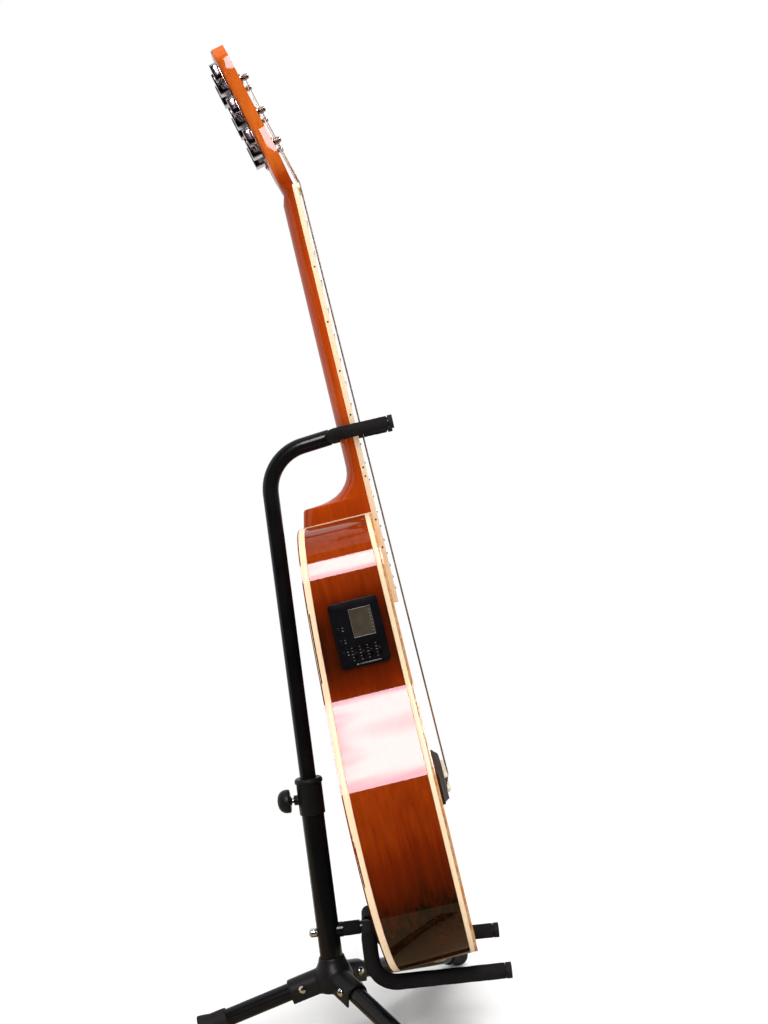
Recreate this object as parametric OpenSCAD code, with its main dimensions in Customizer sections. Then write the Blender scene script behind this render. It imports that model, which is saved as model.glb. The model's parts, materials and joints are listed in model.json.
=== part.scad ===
// Acoustic-electric guitar resting on a folding tubular stand.
// +X is the side the soundboard faces, +Z is up, the floor is Z = 0 and
// the origin is the middle of the object's footprint on the floor.

/* [Stand] */
// Backward lean of the mast from vertical, in degrees
mast_lean = 7.3; // [6.5:0.1:8]
// Height of the hub centre above the floor
hub_height = 79.5; // [76:0.5:84]
// Outer diameter of the lower mast tube
lower_tube_d = 25; // [24:0.5:26]
// Outer diameter of the sliding upper mast tube
upper_tube_d = 18; // [17:0.5:18.5]
// Length of the lower tube above the hub centre
lower_tube_top = 206; // [190:1:220]
// Radius of the bend at the top of the upper tube
mast_bend_r = 50; // [44:1:54]
// Outer diameter of the leg tubes
leg_d = 19; // [18:0.5:20]
// Downward slope of the opened legs from the hub, in degrees
leg_slope = 15; // [14:0.5:17]
// Distance of the leg pivots from the mast axis
leg_pivot = 37; // [36:0.5:40]

/* [Cradle and yoke] */
// Half the distance between the two cradle arms
cradle_half = 72; // [68:1:78]
// Reach of the cradle arms in front of the mast axis
cradle_reach = 192; // [180:1:198]
// Radius of the cradle foam
cradle_foam_r = 8.5; // [7:0.5:9]
// Half the distance between the two yoke arms
yoke_half = 38; // [36:0.5:42]
// Reach of the yoke arms in front of the mast axis
yoke_reach = 143; // [130:1:150]
// Radius of the yoke foam
yoke_foam_r = 7.5; // [7:0.25:8]
// Radius of the bent rod under the foam of cradle and yoke
rod_r = 5.5; // [5:0.25:6]

/* [Guitar body] */
// Backward lean of the soundboard from vertical, in degrees
guitar_lean = 13.5; // [13:0.1:14]
// Length of the body
body_len = 487; // [480:1:500]
// Width of the lower bout
lower_bout = 390; // [380:1:400]
// Width of the waist
waist = 280; // [264:1:286]
// Width of the upper bout
upper_bout = 288; // [282:1:296]
// Depth of the body at the tail
depth_tail = 91; // [88:1:98]
// Depth of the body at the neck
depth_neck = 81; // [78:1:86]
// How far the arched back bulges past a straight line
back_bulge = 9; // [6:0.5:11]
// Diameter of the soundhole
soundhole_d = 102; // [98:1:104]

/* [Neck] */
// Scale length, nut to saddle
scale_len = 655; // [640:1:660]
// Number of frets
fret_count = 20; // [18:1:20]
// Width of the nut
nut_w = 43; // [42:0.5:45]
// Width of the fretboard at the body
joint_w = 55; // [53:0.5:57]
// Backward angle of the headstock, in degrees
head_angle = 13.5; // [11:0.1:15]
// Length of the headstock
head_len = 170; // [165:1:180]

/* [Hidden] */
$fn = 48;
gap = 0.3;
hair = 0.04;
lap = 0.3;
fine = 1800;

// Body shell
wall = 2.5;
top_t = 3;
binding_h = 8;
lower_bout_y = 135;
waist_y = 332;
upper_bout_y = 404;
neck_flat = 32;
soundhole_y = 334;
neck_block = [68, 48];
tail_block = [84, 24];
cross_y = 242;
brace_h = 13;
outline_steps = 12;
tail_world = [157.4, 0, 109.7];

// Neck, measured up the body from the tail
board_t = 6;
board_edge = 1.6;
joint_y = body_len;
nut_y = joint_y + scale_len * (1 - pow(2, -14 / 12));
nut_t = 5;
board_len = 464;
board_end_y = nut_y - board_len;
neck_t_nut = 14.5;
neck_t_heel = 15;
heel_len = 19;
heel_r = 34;
heel_depth = 77;
heel_rake = 4.5;
head_t = 15;
head_drop = 2;
saddle_y = nut_y - scale_len - 3;
saddle_top = 13.5;
string_nut_z = 8.2;
string_r = [0.66, 0.53, 0.42, 0.31, 0.2, 0.16];
nut_spacing = 7;
saddle_spacing = 10.8;
bridge_h = 9.5;
bridge_len = 156;
wing_h = 3.2;
pin_y = saddle_y - 17;
pin_hole_r = 2.65;

// Tuning machines, in the frame of the headstock
post_x = 22;
post_ys = [50, 87, 127];
post_r = 3;
post_top = 10;
post_bore_r = 3.05;
bush_r = 4.25;
case_t = 11.5;
gear_r = 6.5;
gear_z = -head_t - 6;
worm_r = 2.6;
worm_offset = gear_r + worm_r + gap;
button_x = 44;

// Preamp, in the frame of its own panel on the bass side
panel_w = 51;
panel_h = 68;
panel_t = 3;
panel_at = 0.61;
panel_depth = 41;
jack_depth = 43;
jack_r = 3.25;
screen_size = [22, 29];
screen_at = [5.3, 10.5];
slider_xs = [-8.2, 0, 7.7, 16.5];
slider_y = -20;
slot_len = 14;
slot_w = 1.6;
button_ys = [5.5, -7, -19.5];
button_at = -20;

// Stand
hub_bore_r = lower_tube_d / 2;
tube_wall = 1.2;
sleeve_r = lower_tube_d / 2 - tube_wall;
upper_r = upper_tube_d / 2;
upper_bottom = 90;
socket_len = 50;
socket_wall = 2.6;
leg_r = leg_d / 2;
socket_r = leg_r + 0.6;
leg_axis_z = -7.7;
foot_r = 14;
foot_len = 32;
foot_sink = 1.2;
bolt_r = 3;
knob_z = 188.7;
mast_tilt = 80;
yoke_rise = 5.5;
arm_z = -1.8;
arm_slope = -1.7;
drop_slope = -87;
rod_bend = 26;
yoke_bend = 26;
knob_back = -36;

// A point of the guitar's flat frame in the world frame
function guitar_point(p) = [
    tail_world[0] + p[2] * cos(guitar_lean) - p[1] * sin(guitar_lean),
    p[0],
    tail_world[2] + p[2] * sin(guitar_lean) + p[1] * cos(guitar_lean)];
// A point of the world frame in the frame of the mast
function mast_point(p) = [
    p[0] * cos(mast_lean) + (p[2] - hub_height) * sin(mast_lean),
    p[1],
    (p[2] - hub_height) * cos(mast_lean) - p[0] * sin(mast_lean)];

// Length of a leg from the mast axis to the end of its foot
function leg_fall(az) = sin(leg_slope) * cos(mast_lean)
    - cos(az) * cos(leg_slope) * sin(mast_lean);
function leg_len(az) = (hub_height + leg_axis_z * cos(mast_lean) + foot_sink
    - foot_r * sqrt(1 - pow(leg_fall(az), 2))) / leg_fall(az);

// Depth of the body, square to the soundboard
function body_depth(y) = depth_tail + (depth_neck - depth_tail) * y / body_len
    + 4 * back_bulge * y * (body_len - y) / pow(body_len, 2);

// Where the cradle bar stands behind the guitar and the neck leans on the yoke
rest_y = 43;
rest_slope = 2.1;
bar_gap = 9;
bar_world = guitar_point([0, rest_y, -body_depth(rest_y)])
    - (cradle_foam_r + bar_gap) * [cos(guitar_lean + rest_slope), 0, sin(guitar_lean + rest_slope)];
bar = mast_point(bar_world);
stem_z = bar[2];
yoke_y = 579;
yoke_world = guitar_point([0, yoke_y, -neck_t_heel]);
yoke_at = mast_point(yoke_world - (yoke_foam_r + gap) * [cos(guitar_lean), 0, sin(guitar_lean)]);
elbow_z = yoke_at[2] - yoke_at[0] / tan(mast_tilt);

// The middle of the footprint, from the back foot to the cradle arm ends
foot_back_x = -leg_len(180) * cos(leg_slope + mast_lean) - leg_axis_z * sin(mast_lean)
    - foot_r * sin(leg_slope + mast_lean);
arm_end_z = arm_z + (cradle_reach - bar[0]) * tan(arm_slope);
arm_front_x = cradle_reach * cos(mast_lean) - arm_end_z * sin(mast_lean)
    + cradle_foam_r * sin(mast_lean + arm_slope);
footprint_x = (foot_back_x + arm_front_x) / 2;

// Half outline of the body as four Bezier curves, tail to neck
body_curves = [
    [[0, 0], [90, 0], [lower_bout / 2, 43], [lower_bout / 2, lower_bout_y]],
    [[lower_bout / 2, lower_bout_y], [lower_bout / 2, 266], [waist / 2, 276], [waist / 2, waist_y]],
    [[waist / 2, waist_y], [waist / 2, 352], [upper_bout / 2, 378], [upper_bout / 2, upper_bout_y]],
    [[upper_bout / 2, upper_bout_y], [upper_bout / 2, 474], [112, body_len], [neck_flat, body_len]]];
// Half outline of the headstock
head_curves = [
    [[nut_w / 2, 0], [nut_w / 2, 20], [36, 20], [37.5, 44]],
    [[37.5, 44], [36.8, 80], [35, 115], [34, 150]],
    [[34, 150], [33.5, 170], [22, head_len], [0, head_len]]];

function bezier(c, t) = pow(1 - t, 3) * c[0] + 3 * t * pow(1 - t, 2) * c[1]
    + 3 * t * t * (1 - t) * c[2] + pow(t, 3) * c[3];
function bezier_dir(c, t) = pow(1 - t, 2) * (c[1] - c[0]) + 2 * t * (1 - t) * (c[2] - c[1])
    + t * t * (c[3] - c[2]);
function inward(d) = [-d[1], d[0]] / norm(d);
function half_outline(curves, inset) = [
    for (c = curves) for (i = [0:outline_steps])
        if (i < outline_steps || c == curves[len(curves) - 1])
            let (t = i / outline_steps) bezier(c, t) + inset * inward(bezier_dir(c, t))];
function mirrored(points) = [for (i = [len(points) - 1:-1:0]) [-points[i][0], points[i][1]]];

// Frames ------------------------------------------------------------------

// Mast frame: origin at the hub centre, Z up the mast
module at_mast() {
    translate([-footprint_x, 0, hub_height]) rotate([0, -mast_lean, 0]) children();
}

// Guitar frame: X across, Y up the neck, Z out of the soundboard, origin at the tail
module at_guitar() {
    translate([tail_world[0] - footprint_x, 0, tail_world[2]])
        rotate([0, -guitar_lean, 0]) rotate([90, 0, 90]) children();
}

// Headstock frame: origin at the back of the nut, Y up the headstock, Z out of its face
module at_head() {
    at_guitar() translate([0, nut_y + nut_t, head_drop]) rotate([-head_angle, 0, 0]) children();
}

// Panel frame: X towards the soundboard, Y up the side, Z out of the bass side
module at_panel() {
    p = bezier(body_curves[2], panel_at);
    d = bezier_dir(body_curves[2], panel_at);
    u = d / norm(d);
    at_guitar() multmatrix([
        [0, -u[0], -u[1], -p[0]],
        [0, u[1], -u[0], p[1]],
        [1, 0, 0, -panel_depth],
        [0, 0, 0, 1]]) children();
}

// Leg frame: origin where the leg meets the mast axis, X out along the leg
module at_leg(az) {
    at_mast() rotate([0, 0, az]) translate([0, 0, leg_axis_z]) rotate([0, leg_slope, 0]) children();
}

// Shapes ------------------------------------------------------------------

// A straight rod between two points, or a tube when bore is set
module rod(p, q, r, bore = 0) {
    d = q - p;
    translate(p) rotate([0, acos(d[2] / norm(d)), atan2(d[1], d[0])]) difference() {
        cylinder(r = r, h = norm(d));
        if (bore > 0) translate([0, 0, -1]) cylinder(r = bore, h = norm(d) + 2);
    }
}

// A bar or tube with true bends: the corners of pts are rounded to radius bend.
// The straight pieces are a hair thinner and run a little way into the bends.
module bent_bar(pts, bend, r, bore = 0) {
    last = len(pts) - 1;
    turns = [for (i = [1:last - 1])
        let (u = unit(pts[i] - pts[i - 1]), v = unit(pts[i + 1] - pts[i])) acos(u * v)];
    cut = [for (i = [0:last]) (i == 0 || i == last) ? 0 : bend * tan(turns[i - 1] / 2)];
    for (i = [0:last - 1]) {
        u = unit(pts[i + 1] - pts[i]);
        a = i == 0 ? 0 : lap;
        b = i == last - 1 ? 0 : lap;
        rod(pts[i] + u * (cut[i] - a), pts[i + 1] - u * (cut[i + 1] - b), r - hair,
            bore > 0 ? bore + hair : 0);
    }
    for (i = [1:last - 1]) {
        u = unit(pts[i] - pts[i - 1]);
        v = unit(pts[i + 1] - pts[i]);
        n = unit(v - (u * v) * u);
        c = pts[i] - u * cut[i] + n * bend;
        w = cross(-n, u);
        multmatrix([
            [-n[0], u[0], w[0], c[0]],
            [-n[1], u[1], w[1], c[1]],
            [-n[2], u[2], w[2], c[2]],
            [0, 0, 0, 1]])
            rotate_extrude(angle = turns[i - 1]) translate([bend, 0]) difference() {
                circle(r = r);
                if (bore > 0) circle(r = bore);
            }
    }
}
function unit(v) = v / norm(v);

// A flat plate with round corners
module round_plate(w, h, t, r) {
    linear_extrude(t) {
        square([w - 2 * r, h], center = true);
        square([w, h - 2 * r], center = true);
        for (x = [-1, 1]) for (y = [-1, 1])
            translate([x * (w / 2 - r), y * (h / 2 - r)]) circle(r = r);
    }
}

// Body outline, moved inward by inset
module body_shape(inset) {
    half = half_outline(body_curves, inset);
    polygon(concat(half, mirrored([for (i = [1:len(half) - 1]) half[i]])));
}

// Strip of the body outline between two insets
module body_ring(outer, inner) {
    difference() {
        body_shape(outer);
        body_shape(inner);
    }
}

// Everything in front of the arched back surface, moved inward by inset
module back_form(inset) {
    chord = norm([body_len, depth_neck - depth_tail]);
    r = chord * chord / (8 * back_bulge) + back_bulge / 2;
    tilt = atan2(depth_tail - depth_neck, body_len);
    translate([0, body_len / 2, -(depth_tail + depth_neck) / 2]) rotate([tilt, 0, 0])
        translate([0, 0, r - back_bulge]) rotate([0, 90, 0])
        cylinder(r = r - inset, h = lower_bout + 20, center = true, $fn = fine);
}

// Slab of the body space from depth deep up to level z
module body_slab(z) {
    translate([0, 0, z - 130]) linear_extrude(130) children();
}

// Stand -------------------------------------------------------------------

// Moulded tripod hub: a barrel with three sockets, each open below
module hub() {
    color("#161616") difference() {
        union() {
            at_mast() rotate_extrude()
                polygon([[0, -25], [19, -25], [21.5, -20], [21.5, -8], [19, 0], [hub_bore_r + 3, 7],
                    [hub_bore_r + 1.5, 13], [0, 13]]);
            for (az = [180, 60, -60]) at_leg(az) {
                rotate([0, 90, 0]) cylinder(r = socket_r + socket_wall, h = socket_len + 2);
                translate([14, -socket_r - socket_wall, -12])
                    cube([socket_len - 12, 2 * (socket_r + socket_wall), 12]);
            }
        }
        at_mast() translate([0, 0, -22]) cylinder(r = hub_bore_r, h = 60);
        for (az = [180, 60, -60]) at_leg(az) translate([leg_pivot, 0, 0]) {
            rotate([0, 90, 0]) cylinder(r = socket_r, h = 40);
            sphere(r = socket_r);
            translate([0, -socket_r, -30]) cube([40, 2 * socket_r, 30]);
            translate([0, 0, -30]) cylinder(r = socket_r, h = 30);
            rotate([90, 0, 0]) cylinder(r = bolt_r, h = 40, center = true);
        }
    }
}

// Lower mast tube, drilled for the cradle bolt and the clamp screw
module lower_tube() {
    color("#1c1c1e") at_mast() difference() {
        translate([0, 0, -22]) cylinder(r = lower_tube_d / 2, h = lower_tube_top + 22);
        translate([0, 0, -20]) cylinder(r = sleeve_r, h = lower_tube_top + 30);
        translate([-20, 0, stem_z]) rotate([0, 90, 0]) cylinder(r = bolt_r, h = 40);
        translate([-20, 0, knob_z]) rotate([0, 90, 0]) cylinder(r = bolt_r + 0.3, h = 20);
    }
}

// Plastic collar that guides the upper tube and carries the clamp boss
module tube_collar() {
    color("#141414") at_mast() difference() {
        union() {
            rotate_extrude() polygon([[9, lower_tube_top - 34], [14.2, lower_tube_top - 34],
                [14.2, lower_tube_top], [15.6, lower_tube_top + 1], [15.6, lower_tube_top + 4],
                [14, lower_tube_top + 6], [9, lower_tube_top + 6]]);
            translate([-18.5, 0, knob_z]) rotate([0, 90, 0]) cylinder(r = 5.5, h = 10);
        }
        translate([0, 0, lower_tube_top - 40]) cylinder(r = lower_tube_d / 2, h = 40);
        cylinder(r = upper_r + 0.05, h = lower_tube_top + 30);
        translate([-20, 0, knob_z]) rotate([0, 90, 0]) cylinder(r = bolt_r + 0.05, h = 12);
    }
}

// Mushroom thumb knob with its steel screw
module clamp_knob() {
    screw_tip = -knob_back - upper_r - gap;
    color("#101010") at_mast() translate([knob_back, 0, knob_z]) rotate([0, 90, 0]) {
        rotate_extrude() polygon([[0, -1], [7, -0.6], [11.5, 1], [13, 4], [13, 8], [10, 11],
            [6.5, 12.5], [6.5, 16.5], [bolt_r, 16.5], [bolt_r, screw_tip], [0, screw_tip]]);
    }
}

// Bolt through the mast that holds the cradle stem
module cradle_bolt() {
    color("silver") at_mast() translate([0, 0, stem_z]) rotate([0, 90, 0]) rotate_extrude()
        polygon([[0, -21.5], [3, -21], [5, -19], [5, -hub_bore_r], [bolt_r, -hub_bore_r],
            [bolt_r, 28], [0, 28]]);
}

// Short stem from the mast to the middle of the cradle bar
module cradle_stem() {
    color("#1a1a1a") at_mast() difference() {
        union() {
            translate([0, 0, stem_z]) rotate([0, 90, 0]) cylinder(r = 6.5, h = bar[0]);
            translate([0, 0, stem_z]) rotate([0, 90, 0]) cylinder(r = 8.2, h = 17);
        }
        cylinder(r = lower_tube_d / 2, h = 100);
        translate([0, 0, stem_z]) rotate([0, 90, 0]) cylinder(r = bolt_r, h = 28);
        rod([bar[0], -30, bar[2]], [bar[0], 30, bar[2]], rod_r);
    }
}

// Corner points of the cradle rod: arm end, arm root, bar end, and the other side
function cradle_path(end) = let (
    fall = bar[2] - arm_z,
    root_x = bar[0] + fall / tan(-drop_slope),
    tip = [cradle_reach - end * cos(arm_slope), 0,
        arm_z + (cradle_reach - root_x) * tan(arm_slope) - end * sin(arm_slope)],
    root = [root_x, 0, arm_z],
    corner = [bar[0], 0, bar[2]],
    side = [0, cradle_half, 0])
    [tip - side, root - side, corner - side, corner + side, root + side, tip + side];

// Bent steel rod of the cradle
module cradle_tube() {
    color("#202022") at_mast() bent_bar(cradle_path(2), rod_bend, rod_r);
}

// Foam sleeves: one for each arm with half the bar, and one round the stem
module cradle_foam() {
    p = cradle_path(6);
    half_bar = [bar[0], 8.5, bar[2]];
    color("#0d0d0d") at_mast() {
        bent_bar([p[0], p[1], p[2], [half_bar[0], -half_bar[1], half_bar[2]]],
            rod_bend, cradle_foam_r, rod_r + hair);
        bent_bar([half_bar, p[3], p[4], p[5]], rod_bend, cradle_foam_r, rod_r + hair);
        rod([17.3, 0, stem_z], [32, 0, stem_z], 8, 6.5 + hair);
    }
}

// Rubber caps on the ends of the cradle arms
module cradle_caps() {
    a = cradle_path(0);
    b = cradle_path(6);
    c = cradle_path(2);
    color("#111111") at_mast() for (i = [0, 5]) difference() {
        rod(b[i], a[i], cradle_foam_r);
        rod(b[i] - (a[i] - b[i]), c[i], rod_r);
    }
}

// Three pivot bolts with domed heads and domed nuts
module leg_bolts() {
    half = socket_r + socket_wall;
    color("silver") for (az = [180, 60, -60]) at_leg(az) translate([leg_pivot, 0, 0])
        rotate([90, 0, 0]) rotate_extrude()
        polygon([[0, -half - 3.4], [2.6, -half - 2.9], [4.3, -half - 1.2], [4.8, -half],
            [bolt_r, -half], [bolt_r, half], [4.8, half], [4.3, half + 1.2],
            [2.6, half + 2.9], [0, half + 3.4]]);
}

// Leg tube with a ball end that turns on its bolt
module leg(az) {
    color("#18181a") at_leg(az) difference() {
        union() {
            translate([leg_pivot, 0, 0]) sphere(r = leg_r);
            translate([leg_pivot, 0, 0]) rotate([0, 90, 0])
                cylinder(r = leg_r, h = leg_len(az) - leg_pivot - 4);
        }
        translate([leg_pivot + 12, 0, 0]) rotate([0, 90, 0])
            cylinder(r = leg_r - tube_wall, h = leg_len(az));
        translate([leg_pivot, 0, 0]) rotate([90, 0, 0])
            cylinder(r = bolt_r + 0.05, h = 40, center = true);
    }
}

// Flared rubber foot, worn flat where it stands on the floor
module foot(az) {
    color("#0e0e0e") difference() {
        at_leg(az) translate([leg_len(az) - foot_len, 0, 0]) rotate([0, 90, 0]) rotate_extrude()
            polygon([[leg_r, 0], [leg_r + 1.6, 0.6], [leg_r + 2, 3], [leg_r + 2, foot_len - 14],
                [foot_r - 0.6, foot_len - 5], [foot_r, foot_len], [0, foot_len],
                [0, foot_len - 4], [leg_r, foot_len - 4]]);
        translate([-400, -400, -20]) cube([800, 800, 20]);
    }
}

// Upper mast tube, bent forward at the top
module upper_tube() {
    end = yoke_at - unit(yoke_at - [0, 0, elbow_z]) * 2;
    color("#1c1c1e") at_mast() difference() {
        bent_bar([[0, 0, upper_bottom], [0, 0, elbow_z], end], mast_bend_r, upper_r,
            upper_r - tube_wall);
        translate(yoke_at) rotate([0, -yoke_rise, 0]) rotate([90, 0, 0])
            cylinder(r = rod_r, h = 60, center = true);
    }
}

// Plastic glide at the foot of the upper tube, inside the lower tube
module tube_glide() {
    color("#303030") at_mast() translate([0, 0, upper_bottom]) difference() {
        cylinder(r = sleeve_r - 0.06, h = 24);
        translate([0, 0, -1]) cylinder(r = upper_r, h = 30);
    }
}

// Corner points of the U-shaped neck yoke, in its own tilted plane
function yoke_path(end) = let (reach = (yoke_reach - yoke_at[0]) / cos(yoke_rise) - end)
    [[reach, -yoke_half, 0], [0, -yoke_half, 0], [0, yoke_half, 0], [reach, yoke_half, 0]];

module at_yoke() {
    at_mast() translate(yoke_at) rotate([0, -yoke_rise, 0]) children();
}

// Bent steel rod of the neck yoke
module yoke_tube() {
    color("#202022") at_yoke() bent_bar(yoke_path(2), yoke_bend, rod_r);
}

// Foam sleeves on the two arms of the yoke, each with its half of the bar
module yoke_foam() {
    p = yoke_path(5);
    color("#0d0d0d") at_yoke() {
        bent_bar([p[0], p[1], [0, -10, 0]], yoke_bend, yoke_foam_r, rod_r + hair);
        bent_bar([[0, 10, 0], p[2], p[3]], yoke_bend, yoke_foam_r, rod_r + hair);
    }
}

// Rubber caps on the ends of the yoke arms
module yoke_caps() {
    a = yoke_path(0);
    b = yoke_path(5);
    c = yoke_path(2);
    color("#111111") at_yoke() for (i = [0, 3]) difference() {
        rod(b[i], a[i], yoke_foam_r);
        rod(b[i] - [3, 0, 0], c[i], rod_r);
    }
}

// Guitar body -------------------------------------------------------------

// Soundboard with its round hole
module soundboard() {
    color("#c9772b") at_guitar() translate([0, 0, -top_t]) linear_extrude(top_t) difference() {
        body_shape(wall);
        translate([0, soundhole_y]) circle(d = soundhole_d);
        for (i = [0:5]) translate([saddle_x(i), pin_y]) circle(r = pin_hole_r);
    }
}

// Arched back plate
module back_plate() {
    color("#6b2410") at_guitar() difference() {
        intersection() {
            body_slab(-binding_h) body_shape(wall);
            back_form(0);
        }
        back_form(top_t);
    }
}

// Bent sides, with openings for the preamp, the neck tenon and the jack
module sides() {
    color("#7a2a10") difference() {
        at_guitar() intersection() {
            body_slab(-binding_h) body_ring(0, wall);
            back_form(binding_h);
        }
        at_panel() translate([-(panel_w - 6) / 2, -(panel_h - 6) / 2, -12])
            cube([panel_w - 6, panel_h - 6, 24]);
        at_guitar() neck_tenon();
        jack_hole();
    }
}

// Cream binding round the edges of the top and the back
module body_binding() {
    color("#e8c48a") at_guitar() {
        translate([0, 0, -binding_h]) linear_extrude(binding_h) body_ring(0, wall);
        difference() {
            intersection() {
                body_slab(-binding_h) body_ring(0, wall);
                back_form(0);
            }
            back_form(binding_h);
        }
    }
}

// Space for the end pin jack
module jack_hole() {
    at_guitar() translate([0, -20, -jack_depth]) rotate([-90, 0, 0]) cylinder(r = 6, h = 60);
}

// Neck and tail blocks with the lining strips that join top and back to the sides
module blocks_and_linings() {
    color("#c9a26a") difference() {
        at_guitar() difference() {
            intersection() {
                body_slab(-top_t) body_shape(wall);
                back_form(top_t);
            }
            difference() {
                body_slab(10) body_shape(wall + 6);
                end_blocks();
            }
            difference() {
                intersection() {
                    body_slab(-top_t - 14) body_shape(0);
                    back_form(top_t + 12);
                }
                end_blocks();
            }
            neck_tenon();
        }
        jack_hole();
    }
}

// Space of the neck block and the tail block
module end_blocks() {
    translate([-neck_block[0] / 2, body_len - neck_block[1], -130])
        cube([neck_block[0], neck_block[1] + 10, 160]);
    translate([-tail_block[0] / 2, -10, -130]) cube([tail_block[0], tail_block[1] + 10, 160]);
}

// Spruce braces under the top and across the back
module braces() {
    color("#d8b98a") at_guitar() {
        difference() {
            top_braces();
            for (i = [0:5]) translate([saddle_x(i), pin_y, -30]) cylinder(r = pin_hole_r, h = 40);
        }
        difference() {
            intersection() {
                body_slab(-binding_h) body_shape(wall + 6.5);
                back_form(top_t);
                union() for (y = [80, 180, 285, 385]) translate([-200, y, -130]) cube([400, 9, 130]);
            }
            back_form(top_t + 12);
        }
    }
}

// Crossed braces, fan brace, shoulder brace and bridge plate
module top_braces() {
    intersection() {
        body_slab(-top_t) body_shape(wall + 6.5);
        translate([0, 0, -top_t - brace_h]) union() {
            for (a = [-1, 1]) translate([0, cross_y, 0]) rotate([0, 0, a * 50])
                translate([-230, -3.5, 0]) cube([460, 7, brace_h + 1]);
            translate([-118, 404, 0]) cube([236, 12, brace_h + 1]);
            translate([0, 128, 0]) rotate([0, 0, 28]) translate([-75, -3, 4]) cube([190, 6, brace_h - 2]);
            translate([-48, 172, brace_h - 3]) cube([96, 40, 6]);
        }
    }
}

// Bridge: thick in the middle, thin at the wings
module bridge() {
    half = bridge_len / 2;
    crown = [for (x = [-half:6:half]) [x, wing_h + (bridge_h - wing_h) / (1 + pow(abs(x) / 56, 8))]];
    belly = [for (x = [-half:6:half]) [x, -20 - 8 / (1 + pow(x / 38, 4))]];
    color("#2a1610") at_guitar() translate([0, saddle_y - 2, 0]) difference() {
        intersection() {
            rotate([90, 0, 0]) linear_extrude(80, center = true)
                polygon(concat([[half, 0], [-half, 0]], crown));
            linear_extrude(20)
                polygon(concat([[half, 9], [half - 4, 12], [4 - half, 12], [-half, 9]], belly));
        }
        translate([0, 2, 4]) rotate([0, 0, 3]) translate([-36, -1.5, 0]) cube([72, 3, 20]);
        for (i = [0:5]) translate([saddle_x(i), pin_y - saddle_y + 2, -1]) cylinder(r = pin_hole_r, h = 20);
    }
}
function saddle_x(i) = (i - 2.5) * saddle_spacing;
function saddle_at(i) = saddle_y + saddle_x(i) * tan(3);

// Slanted saddle with a rounded top
module saddle() {
    color("#efe6cf") at_guitar() translate([0, saddle_y, 4]) rotate([0, 0, 3]) {
        translate([-36, -1.5, 0]) cube([72, 3, saddle_top - 5.5]);
        translate([-36, 0, saddle_top - 5.5]) rotate([0, 90, 0]) cylinder(r = 1.5, h = 72);
    }
}

// Six bridge pins
module bridge_pins() {
    color("#e9dfc6") at_guitar() for (i = [0:5]) translate([saddle_x(i), pin_y, 0]) rotate_extrude()
        polygon([[0, -8], [2, -8], [2.6, 2], [2.6, bridge_h], [4, bridge_h + 0.2],
            [4.2, bridge_h + 2], [2.8, bridge_h + 3.6], [0, bridge_h + 4.2]]);
}

// Neck ---------------------------------------------------------------------

function board_w(y) = nut_w + (joint_w - nut_w) * (nut_y - y) / (nut_y - joint_y);

// Fretboard outline, narrowed by trim on each side
module board_shape(trim) {
    polygon([[-board_w(nut_y) / 2 + trim, nut_y], [-board_w(board_end_y) / 2 + trim, board_end_y + trim],
        [board_w(board_end_y) / 2 - trim, board_end_y + trim], [board_w(nut_y) / 2 - trim, nut_y]]);
}

// Rosewood fretboard
module fretboard() {
    color("#2b1a14") at_guitar() linear_extrude(board_t) board_shape(board_edge);
}

// Cream edge of the fretboard
module fretboard_binding() {
    color("#ecd3a0") at_guitar() linear_extrude(board_t) difference() {
        board_shape(0);
        board_shape(board_edge);
        translate([-50, nut_y]) square([100, 5]);
    }
}

// Half-round fret wires
module frets() {
    color("#c8c8c8") at_guitar() difference() {
        for (n = [1:fret_count]) {
            y = nut_y - scale_len * (1 - pow(2, -n / 12));
            translate([0, y, board_t]) rotate([0, 90, 0])
                cylinder(r = 1.15, h = board_w(y) - 1, center = true);
        }
        translate([-50, 0, board_t - 10]) cube([100, 1000, 10]);
    }
}

// Bone nut
module nut() {
    color("#efe6cf") at_guitar() translate([-nut_w / 2, nut_y, 0]) cube([nut_w, nut_t, string_nut_z]);
}

// Strings: over the saddle, along the neck and on to the posts
module strings() {
    color("#b9a27a") at_guitar() for (i = [0:5]) {
        r = string_r[i];
        over_saddle = [saddle_x(i), saddle_at(i), saddle_top + r];
        over_nut = [(i - 2.5) * nut_spacing, nut_y + nut_t + gap, string_nut_z + r + gap / 2];
        rod([saddle_x(i), pin_y + 4.6, bridge_h + r], over_saddle, r * 0.96);
        rod(over_saddle, over_nut, r);
        rod(over_nut, string_end(i), r * 0.96);
    }
}
// Where a string reaches the side of its post, in the guitar frame
function string_side(i) = i < 3 ? -1 : 1;
function string_row(i) = i < 3 ? i : 5 - i;
function string_end(i) = let (
    h = [string_side(i) * (post_x - post_r - 1.4), post_ys[string_row(i)] - 1, 5.5])
    [h[0],
     nut_y + nut_t + h[1] * cos(head_angle) + h[2] * sin(head_angle),
     head_drop - h[1] * sin(head_angle) + h[2] * cos(head_angle)];

// Half-elliptic slice of the neck shaft
module neck_slice(w, t) {
    rotate([90, 0, 0]) linear_extrude(0.5) polygon([for (a = [0:7.5:180]) [w / 2 * cos(a), -t * sin(a)]]);
}

// Tenon of the neck inside the neck block
module neck_tenon() {
    translate([-12, body_len - 26, -68]) cube([24, 27, 59]);
}

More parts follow.
